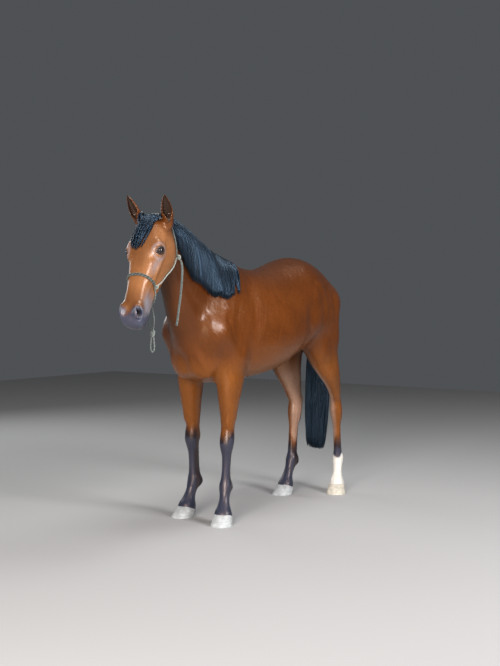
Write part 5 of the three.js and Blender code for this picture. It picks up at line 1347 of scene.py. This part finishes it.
def fall(p, drop, back, rows):
    """Ways of hairs from the crest down the left side, on the flesh."""
    way = [p]
    for j in range(1, rows):
        n = normal_at(p)
        down = np.stack([back, 0 * back + 0.9 * math.exp(-3 * j / rows), 0 * back - 1], 1)
        step = unit(down - n * (n * down).sum(1)[:, None])
        p = settle(p + step * (drop / (rows - 1))[:, None], 0, 1)
        way.append(p)
    return np.stack(way, 1)

# near the poll the hair is swept back, and over the withers it turns forward
sweep = -0.1 - 0.35 * np.maximum(0, 1 - guide_u / 0.35) + 0.85 * np.maximum(0, guide_u - 0.6)
over = fall(start, drop, sweep, MANE_STEPS)
n = normal_at(start)
back = unit(vec(0, -1, 0.0) - n * (n @ vec(0, -1, 0))[:, None])
right = [settle(start + back * r, 0, 1) for r in (0.026, 0.013)]
mane_ways = np.concatenate([np.stack(right, 1), over], 1)
mane_out = normal_at(mane_ways.reshape(-1, 3)).reshape(mane_ways.shape)

def along_guides(ways, u, v):
    """Points of a sheet of guide lines at u across them and v along them, both 0 to 1."""
    a, b = np.clip(u, 0, 1) * (ways.shape[0] - 1), np.clip(v, 0, 1) * (ways.shape[1] - 1)
    i, j = np.minimum(a.astype(int), ways.shape[0] - 2), np.minimum(b.astype(int), ways.shape[1] - 2)
    s, t = (a - i)[..., None], (b - j)[..., None]
    return ((ways[i, j] * (1 - s) + ways[i + 1, j] * s) * (1 - t)
            + (ways[i, j + 1] * (1 - s) + ways[i + 1, j + 1] * s) * t)

rng = np.random.default_rng(HAIR_SEED)
MANE_LOCKS, MANE_ROWS, MANE_CLUMPS = 1950, 14, 46
u0 = (np.arange(MANE_LOCKS) + rng.random(MANE_LOCKS)) / MANE_LOCKS
clump = np.floor(u0 * MANE_CLUMPS + 0.6 * rng.random(MANE_LOCKS))
clump_u, clump_seed = (clump + 0.5) / MANE_CLUMPS, np.sin(clump * 12.9898) * 0.5 + 0.5
layer = rng.random(MANE_LOCKS) ** 0.6
v = np.linspace(0, 1, MANE_ROWS)[None]
v0, v1 = 0.085 * (1 - layer) + 0.02 * rng.random(MANE_LOCKS), 0.93 + 0.05 * rng.random(MANE_LOCKS) - 0.05 * clump_seed
vv = v0[:, None] + (v1 - v0)[:, None] * v
uu = (u0[:, None] + (clump_u - u0)[:, None] * 0.55 * smooth(v * 1.2)
      + 0.006 * np.sin(9 * v + 40 * clump_seed[:, None]) * v)
thick_here = (0.009 + 0.021 * np.sin(np.pi * np.clip(0.18 + 0.72 * vv, 0, 1))) * np.minimum(
    1, np.minimum(5 * uu + 0.3, 5 * (1 - uu) + 0.3))
height = 0.001 + (layer[:, None] * thick_here + 0.002 * clump_seed[:, None]) * smooth(v / 0.18 + 0.15)
out = unit(along_guides(mane_out, uu, vv))
lines = along_guides(mane_ways, uu, vv) + out * height[..., None]
width = 0.0062 * rng.uniform(0.6, 1.3, MANE_LOCKS)[:, None] * taper(MANE_ROWS)
thick = 0.0024 * rng.uniform(0.7, 1.2, MANE_LOCKS)[:, None] * taper(MANE_ROWS)
roots = bake_place(lines[:, 0], out[:, 0])
# clumps differ in tone, and the hair is painted brighter towards the poll and blacker towards the withers, a painted
# sheen on the front of the mane
tone = hair_tones(rng, MANE_LOCKS) * (0.55 + 0.9 * clump_seed * (1.25 - 0.85 * smooth((u0 - 0.45) / 0.2)))[:, None]
mane = make_locks("mane_hair", lines, out, width, thick, roots, tone)
finish_hair(mane, "mane")

# forelock: from between the ears down over the right side of the forehead
FORELOCK_GUIDES, FORELOCK_STEPS = 14, 16
gu, gv = np.meshgrid(np.linspace(0, 1, FORELOCK_GUIDES), np.linspace(0, 1, FORELOCK_STEPS), indexing="ij")
left_l, right_l = 0.046 + 0.03 * gv - 0.072 * gv ** 2, -0.038 - 0.15 * gv + 0.141 * gv ** 2
sheet = np.stack([-0.042 + 0.298 * gv, 0.07 + 0 * gv, left_l + (right_l - left_l) * gu], -1)
lock_ways = settle(from_head(sheet.reshape(-1, 3)), 0, 12).reshape(sheet.shape)
lock_out = normal_at(lock_ways.reshape(-1, 3)).reshape(sheet.shape)
FORELOCK_LOCKS, FORELOCK_ROWS = 900, 13
u0, layer = rng.random(FORELOCK_LOCKS), rng.random(FORELOCK_LOCKS) ** 0.7
clump = (np.floor(u0 * 9) + 0.5) / 9
v = np.linspace(0, 1, FORELOCK_ROWS)[None]
v1 = rng.uniform(0.62, 0.99, FORELOCK_LOCKS) * (1 - 0.12 * np.abs(u0 - 0.5))
vv = 0.1 * (1 - layer)[:, None] + (v1 - 0.1 * (1 - layer))[:, None] * v
uu = u0[:, None] + (clump - u0)[:, None] * 0.6 * v + 0.05 * np.sin(5 * v + 20 * clump[:, None]) * v
bulge = (0.007 + 0.014 * np.sin(np.pi * np.clip(0.25 + 0.6 * vv, 0, 1))
         * (0.35 + 0.65 * np.sin(np.pi * np.clip(uu, 0, 1))))
out = unit(along_guides(lock_out, uu, vv))
lines = along_guides(lock_ways, uu, vv) + out * (0.001 + layer[:, None] * bulge * smooth(v / 0.25 + 0.1))[..., None]
width = 0.0056 * rng.uniform(0.6, 1.2, FORELOCK_LOCKS)[:, None] * taper(FORELOCK_ROWS)
thick = 0.0022 * rng.uniform(0.7, 1.2, FORELOCK_LOCKS)[:, None] * taper(FORELOCK_ROWS)
forelock = make_locks("forelock_hair", lines, out, width, thick, bake_place(lines[:, 0], out[:, 0]),
                      hair_tones(rng, FORELOCK_LOCKS))
finish_hair(forelock, "forelock")

# tail: height, middle x and y, half thickness, half width
TAIL = [
    (1.376, -0.806, -0.002, 0.03, 0.034), (1.316, -0.84, -0.008, 0.042, 0.056),
    (1.2, -0.85, -0.02, 0.047, 0.078),
    (1.05, -0.846, -0.036, 0.048, 0.095), (0.85, -0.84, -0.05, 0.045, 0.1),
    (0.65, -0.836, -0.058, 0.042, 0.099),
    (0.47, -0.832, -0.062, 0.039, 0.094), (0.34, -0.83, -0.064, 0.033, 0.084),
    (0.27, -0.83, -0.065, 0.022, 0.068),
]
TAIL_LOCKS, TAIL_ROWS = 2500, 18
def tail_at(z):
    rows = np.array(TAIL)[::-1]
    return [np.interp(z, rows[:, 0], rows[:, k]) for k in range(1, 5)]

TAIL_CLUMPS = 60
root_z = 1.385 - 0.33 * rng.random(TAIL_LOCKS) ** 1.3
clump = rng.integers(0, TAIL_CLUMPS, TAIL_LOCKS)
clump_a, clump_r = 2 * np.pi * (clump * 0.618 % 1), np.sqrt((clump + 0.5) / TAIL_CLUMPS)
angle, far = clump_a + rng.normal(0, 0.35, TAIL_LOCKS), np.clip(clump_r + rng.normal(0, 0.14, TAIL_LOCKS), 0.05, 0.97)
end_z = 0.278 + 0.045 * rng.random(TAIL_LOCKS) ** 2 + 0.02 * (np.sin(clump * 7.7) * 0.5 + 0.5)
v = np.linspace(0, 1, TAIL_ROWS)[None] ** 0.9
z = root_z[:, None] + (end_z - root_z)[:, None] * v
mx, my, deep, wide = tail_at(z)
spread = (0.35 + 0.65 * smooth((root_z[:, None] - z) / 0.16)) * far[:, None]
spread = spread + (clump_r[:, None] - far[:, None]) * 0.5 * smooth((0.75 - z) / 0.5)
turn = angle[:, None] + (clump_a - angle)[:, None] * 0.5 * smooth((0.9 - z) / 0.6)
wave = 0.0035 * np.sin(11 * z + 3 * clump[:, None]) * smooth(v * 2)
lines = np.stack([mx + spread * (deep * 0.96) * np.cos(turn) + wave * 0.5,
                  my + spread * (wide * 0.96) * np.sin(turn) + wave, z + 0 * mx], -1)
lift_top = smooth((z - 1.3) / 0.08)
lines[..., 2] += lift_top * 0.024 * np.cos(turn) * spread
out = unit(np.stack([np.cos(turn), np.sin(turn), 0.12 + 0 * turn], -1))
width = 0.007 * rng.uniform(0.6, 1.3, TAIL_LOCKS)[:, None] * taper(TAIL_ROWS, last=0.12)
thick = 0.0028 * rng.uniform(0.7, 1.2, TAIL_LOCKS)[:, None] * taper(TAIL_ROWS, last=0.12)
dock = np.stack([np.full(TAIL_LOCKS, -0.8), 0.02 * np.sin(angle), root_z], 1)
tail = make_locks("tail_hair", lines, out, width, thick, bake_place(dock, out[:, 0]), hair_tones(rng, TAIL_LOCKS))
finish_hair(tail, "tail")

# ---------------------------------------------------------------- short coat
# The summer coat: short glossy hair, flat along the body. Thin tufts stand at the skin's own
# places and follow its lie, longest behind the fetlocks, in the ears and under the belly,
# and smallest on the face. Stiff whiskers grow about the lips, and lashes over the eyes.
COAT_SEED, COAT_TUFTS, COAT_ROWS = 11, 40000, 3
corners = np.array([(f[0], f[k], f[k + 1]) for f in skin_faces for k in range(1, len(f) - 1)])
a, b, c = (skin_points[corners[:, k]] for k in range(3))
cross = np.cross(b - a, c - a)
area, face_normal = np.linalg.norm(cross, axis=1) / 2, unit(cross)
spot = (a + b + c) / 3

def coat_here(p, inner_ear):
    """Density, length and lift of the tufts at points of the skin."""
    x, y, z = p.T
    s, d, l = to_head(p).T
    face = head_share(p)
    dense, length, lift = np.ones(len(p)), np.full(len(p), 0.03), np.full(len(p), 0.3)
    def where(share, density, long, stand):
        for values, goal in ((dense, density), (length, long), (lift, stand)):
            values[:] = values + (goal - values) * share
    where(smooth((1.02 - z) / 0.06) * (z > 0.75) * (np.abs(x) < 0.5), 1.6, 0.032, 0.8)     # belly and breast
    where(smooth((0.6 - z) / 0.1), 2.0, 0.014, 0.45)                                       # lower limbs
    where(face, 2.4, 0.012, 0.25)
    where(face * smooth((s - 0.46) / 0.05), 3.0, 0.006, 0.25)                               # muzzle
    where(face * smooth((-0.12 - d) / 0.03) * smooth((0.4 - s) / 0.05), 3.2, 0.016, 1.2)   # edge of the jaw
    for leg in LEGS.values():
        lx, ly = leg_coords(x, y, z, leg)
        near = (np.hypot(lx, ly) < 0.16) & (z < 0.6)
        where(near * smooth((0.245 - z) / 0.02) * smooth((z - 0.15) / 0.03) * smooth((-lx - 0.012) / 0.02),
              9.0, 0.026, 3.2)
        where(near * smooth((0.1 - z) / 0.02), 8.0, 0.015, 0.8)                            # over the coronet
        where(near * smooth((z - 0.25) / 0.05) * smooth((-lx - 0.02) / 0.01), 4.0, 0.016, 1.2)
    eye = np.sqrt((s - EYE[0]) ** 2 + (d - EYE[1]) ** 2 + (np.abs(l) - EYE[2]) ** 2)
    where(smooth((0.05 - eye) / 0.02), 5.0, 0.005, 0.25)
    where(on_ear(p), 5.0, 0.0075, 0.25)
    where(inner_ear, 6.0, 0.012, 1.0)
    return dense, length, lift

def on_ear(p):
    """1 on the leaves of the ears."""
    local, share = to_head(p), np.zeros(len(p))
    for ear in EARS.values():
        base, along, _, _ = ear_axes(ear)
        r = local - base
        t = r @ along
        close = np.linalg.norm(r - np.outer(t, along), axis=1) < 0.045
        share = np.maximum(share, smooth((t - 0.02) / 0.02) * close)
    return share

rng = np.random.default_rng(COAT_SEED)
inner_spot = inside_ear[corners].mean(1)
dense, _, _ = coat_here(spot, inner_spot)
from_nostril = (to_head(spot) * vec(1, 1, 0) + np.abs(to_head(spot)) * vec(0, 0, 1)
                - vec(0.572, 0.008, 0.046))
bald = (on_rim[corners].mean(1) > 0.2) | (np.linalg.norm(from_nostril, axis=1) < 0.02) | (spot[:, 2] < 0.066)
weight = area * dense * ~bald
pick = rng.choice(len(corners), COAT_TUFTS, p=weight / weight.sum())
r1, r2 = np.sqrt(rng.random(COAT_TUFTS)), rng.random(COAT_TUFTS)
share = np.stack([1 - r1, r1 * (1 - r2), r1 * r2], 1)[..., None]
root = (skin_points[corners[pick]] * share).sum(1)
tone = (skin_color[corners[pick]] * share).sum(1) * rng.uniform(0.88, 1.2, (COAT_TUFTS, 1))
inner = inner_spot[pick]
_, length, lift = coat_here(root, inner)
n = face_normal[pick]
way = lie(root, n)
for ear in EARS.values():
    base, along, across, out = (k @ HEAD_AXES for k in ear_axes(ear))
    mid_ear = from_head(ear_axes(ear)[0] + ear_axes(ear)[1] * 0.08)
    mine = (np.linalg.norm(root - mid_ear, axis=1) < 0.1) & (on_ear(root) > 0.5)
    up = along[None] + inner[mine, None] * 0.4 * out
    way[mine] = unit(up - n[mine] * (up * n[mine]).sum(1)[:, None])
way = unit(way + 0.07 * rng.normal(size=way.shape))
length = length * rng.uniform(0.65, 1.25, COAT_TUFTS)
v = np.linspace(0, 1, COAT_ROWS)
raised = -0.0003 + (0.0004 + COAT_DEPTH * 0.8 * lift)[:, None] * v ** 0.7
lines = root[:, None] + way[:, None] * (length[:, None] * v)[..., None]
# where the flesh bends, the hair bends with it
on_flesh = (on_ear(root) < 0.01) & (inner < 0.01)
bent = lines[on_flesh, 1:].reshape(-1, 3)
lines[on_flesh, 1:] = settle(bent, -COAT_DEPTH, 1).reshape(-1, COAT_ROWS - 1, 3)
lines = lines + n[:, None] * raised[..., None]
shape = np.array([0.55, 1.0, 0.1])
width = np.clip(length * 0.17, 0.0009, 0.0048)[:, None] * rng.uniform(0.7, 1.2, (COAT_TUFTS, 1)) * shape
coat_material, tree, shader = new_material("short bay coat", Roughness=0.4, Coat_Weight=0.3, Coat_Roughness=0.25,
                                           Specular_Tint=(1.0, 0.62, 0.36, 1))
along = attribute(tree, "along").outputs["Fac"]
tinted = scaled_colour(tree, attribute(tree, "paint").outputs["Color"], map_range(tree, along, 0, 1, 0.85, 1.2))
tree.links.new(tinted, shader.inputs["Base Color"])
out = np.broadcast_to(n[:, None], lines.shape)
coat = make_locks("coat_tufts", lines, out, width, width * 0.16, bake_place(root, n), tone, sides=3,
                  lying=0.84)
for piece in coat:
    piece.data.materials.append(coat_material)

def bristles(name, root, way, sag, length, thick, rows=5):
    """Single stiff hairs that bend a little as they go."""
    v = np.linspace(0, 1, rows)
    lines = root[:, None] + (way[:, None] * v[:, None] + sag[:, None] * v[:, None] ** 2) * length[:, None, None]
    n = np.broadcast_to(unit(np.cross(way, vec(0.3, 0.5, 0.8)))[:, None], lines.shape)
    size = thick * (1.15 - v)[None] * np.ones((len(root), 1))
    made = make_locks(name, lines, n, size, size, bake_place(root, way), hair_tones(rng, len(root)), sides=3)
    for piece in made:
        piece.data.materials.append(hair_material)

# whiskers about the lips and chin
count = 64
s, d = rng.uniform(0.54, 0.612, count), rng.uniform(-0.125, -0.02, count)
whisker_l = rng.choice([-1, 1], count) * rng.uniform(0.015, 0.075, count)
whisker_root = settle(from_head(np.stack([s, d, whisker_l], 1)), -0.001, 14)
outward = normal_at(whisker_root)
bristles("whiskers", whisker_root, unit(outward + HEAD_AXES[0] * 0.5), np.tile(vec(0, 0, -0.25), (count, 1)),
         rng.uniform(0.01, 0.028, count), 0.0005)

# lashes on the upper lids, fanned outwards and down
for side in (1, -1):
    centre, u, v, w = eye_frame(side)
    count = 46
    k = np.linspace(-0.017, 0.019, count) + rng.normal(0, 0.0004, count)
    high = np.sqrt(0.025 ** 2 - k ** 2) - 0.0085 + 0.0012
    out_w = np.sqrt(np.maximum((EYE_RADIUS + LID * 0.8) ** 2 - k ** 2 - high ** 2, 0))
    lash_root = centre + k[:, None] * u + high[:, None] * v + out_w[:, None] * w
    bristles("left_lashes" if side > 0 else "right_lashes", lash_root, unit(w + 0.35 * v + (k * 18)[:, None] * u),
             np.tile(-0.55 * v + vec(0, 0, -0.1), (count, 1)), rng.uniform(0.008, 0.013, count), 0.0007)

# ---------------------------------------------------------------- rope halter
# A halter knotted from one plaited cord: a double noseband with a knot at each end, a strap
# up each cheek, one over the poll, and two that run under the jaw to the knot for the lead.
ROPE_REST = ROPE / 2 + 0.0006      # height of a cord's middle when it lies on the coat

def mirrored(points, side):
    return [(s, d, l * side) for s, d, l in points]

def laid(points, reach=0.045):
    """Points of the head's frame, laid on the flesh unless they hang clear of it."""
    p = from_head(np.array(points))
    near = flesh_at(p) < reach
    p[near] = settle(p[near], ROPE_REST, 14)
    return p

def knot_middle(name):
    return np.mean(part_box(name), axis=0) - ORIGIN

def halter_way(start, points, end, reach=0.045):
    """A cord's way from knot to knot, pressed onto the coat where it is close to it."""
    ends = [knot_middle(k)[None] if k else np.zeros((0, 3)) for k in (start, end)]
    way = smooth_curve(np.vstack([ends[0], laid(points, reach), ends[1]]), 0.0025)
    depth = flesh_at(way)
    pressed = settle(way, ROPE_REST)
    share = smooth((0.024 - depth) / 0.012)[:, None]
    return way + (pressed - way) * share

def noseband(rise):
    half = [(0.392 - rise, -0.045, 0.072), (0.389 - rise, -0.008, 0.072), (0.385 - rise, 0.032, 0.056),
            (0.383 - rise, 0.052, 0.024)]
    return half + mirrored(half, -1)[::-1]

cheek = [(0.37, -0.092, 0.075), (0.328, -0.128, 0.078), (0.275, -0.16, 0.086), (0.215, -0.186, 0.094),
         (0.175, -0.199, 0.101)]
far_cheek = mirrored(cheek + [(0.142, -0.205, 0.105), (0.085, -0.178, 0.106), (0.045, -0.14, 0.104)], -1)
poll_side = [(0.088, -0.18, 0.106), (0.04, -0.13, 0.106), (0.005, -0.075, 0.098), (-0.028, -0.025, 0.084),
             (-0.046, 0.015, 0.058), (-0.052, 0.034, 0.022)]
over_poll = poll_side + mirrored(poll_side, -1)[::-1][:4]
jaw = [(0.42, -0.106, 0.066), (0.438, -0.134, 0.058), (0.458, -0.16, 0.046), (0.504, -0.208, 0.02)]
LEFT, RIGHT, TIED, CHIN = "halter_left_knot", "halter_right_knot", "halter_tie_knot", "halter_chin_knot"
for name, tone, way in (
        ("nose_upper", DARK_CORD, halter_way(LEFT, noseband(0.009), RIGHT)),
        ("nose_lower", DARK_CORD, halter_way(LEFT, noseband(0.001), RIGHT)),
        ("left_cheek", LIGHT_CORD, halter_way(LEFT, cheek, TIED)),
        ("right_cheek", LIGHT_CORD, halter_way(RIGHT, far_cheek, None)),
        ("crown", GREY_CORD, halter_way(TIED, over_poll, None, 0.16)),
        ("left_jaw", GREY_CORD, halter_way(LEFT, jaw, CHIN)),
        ("right_jaw", GREY_CORD, halter_way(RIGHT, mirrored(jaw, -1), CHIN))):
    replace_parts(cord_piece("halter_cord_" + name, [braid(way)], [tone]), "halter_" + name)

# the loop that a lead would be tied to hangs from the knot under the chin
under = knot_middle(CHIN)
loop = under + np.array([(0, 0.006, -0.006), (0.001, 0.011, -0.04), (0, 0.013, -0.072), (-0.001, 0.008, -0.092),
                         (0, 0, -0.099), (0.001, -0.008, -0.092), (0, -0.013, -0.072), (-0.001, -0.011, -0.04),
                         (0, -0.006, -0.006)])
lead_loop = cord_piece("halter_cord_loop", [braid(smooth_curve(loop, 0.0025))], [GREY_CORD])
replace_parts(lead_loop, "halter_lead_loop")

def wound_knot(middle, axis, reach, turns):
    """A barrel of turns about an axis, and a bight that locks them, inside the given reach."""
    axis = unit(vec(*axis))
    side = unit(np.cross(axis, vec(0.3, 0.2, 1) if abs(axis[2]) < 0.9 else vec(1, 0, 0)))
    third = np.cross(axis, side)
    wide, high = min(reach[0], reach[1]) - ROPE / 2, reach[2] - ROPE / 2
    t = np.linspace(0, 1, 16 * turns)
    a, h = 2 * np.pi * turns * t, high * (2 * t - 1) * 0.92
    r = wide * (0.55 + 0.45 * np.sin(np.pi * np.clip(t, 0.06, 0.94)))
    coil = middle + (r * np.cos(a))[:, None] * side + (r * np.sin(a))[:, None] * third + h[:, None] * axis
    b = np.linspace(-0.75 * np.pi, 0.75 * np.pi, 26)
    bight = middle + (1.04 * wide * np.cos(b))[:, None] * side + (high * np.sin(b))[:, None] * axis \
        + (0.35 * wide * np.sin(2 * b))[:, None] * third
    return [braid(smooth_curve(way, 0.0022), side) for way in (coil, bight)]

for node, axis, turns in ((LEFT, (0.2, 0.3, 1), 3), (RIGHT, (0.2, -0.3, 1), 3), (TIED, (0.25, 0.1, 1), 4),
                          (CHIN, (0, 0.1, 1), 5)):
    reach = np.ptp(np.array(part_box(node)), axis=0) / 2
    knot = wound_knot(knot_middle(node), axis, reach, turns)
    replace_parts(cord_piece(node + "_wound", knot, [GREY_CORD, LIGHT_CORD]), node)

# ---------------------------------------------------------------- floor and light
# A plain pale floor. Soft daylight comes from in front of the horse through a wide opening,
# with a weaker light on each side and one above, and an even sky fills the shadows.
floor_mesh = bpy.data.meshes.new("floor")
floor_mesh.from_pydata([(-9, -9, 0), (9, -9, 0), (9, 9, 0), (-9, 9, 0)], [], [(0, 1, 2, 3)])
floor = bpy.data.objects.new("floor", floor_mesh)
bpy.context.scene.collection.objects.link(floor)
floor_material, tree, shader = new_material("floor", Roughness=0.85)
shader.inputs["Base Color"].default_value = (0.42, 0.41, 0.395, 1)
floor_mesh.materials.append(floor_material)

def area_light(name, place, target, size, power, colour=(1, 1, 1)):
    light = bpy.data.objects.new(name, bpy.data.lights.new(name, "AREA"))
    bpy.context.scene.collection.objects.link(light)
    light.data.size, light.data.energy, light.data.color = size, power, colour
    light.location = place
    light.rotation_euler = (Vector(target) - Vector(place)).to_track_quat("-Z", "Y").to_euler()

area_light("opening", (6.6, 2.6, 2.7), (0.1, 0, 1.0), 2.4, 560, (1.0, 0.95, 0.94))
area_light("left_side", (0.4, 5.4, 3.4), (-0.1, 0, 1.0), 1.6, 290, (0.95, 0.95, 1.0))
area_light("right_side", (-1.5, -5.0, 3.2), (0, 0, 1.0), 3.0, 90, (0.92, 0.96, 1.0))
area_light("above", (-0.6, 0.8, 5.0), (-0.2, 0, 1.0), 1.8, 110, (0.95, 0.98, 1.0))
world = bpy.data.worlds.new("sky")
world.use_nodes = True
world.node_tree.nodes["Background"].inputs[0].default_value = (0.78, 0.83, 0.9, 1)
world.node_tree.nodes["Background"].inputs[1].default_value = 0.1
bpy.context.scene.world = world
bpy.context.scene.view_settings.view_transform = "Standard"
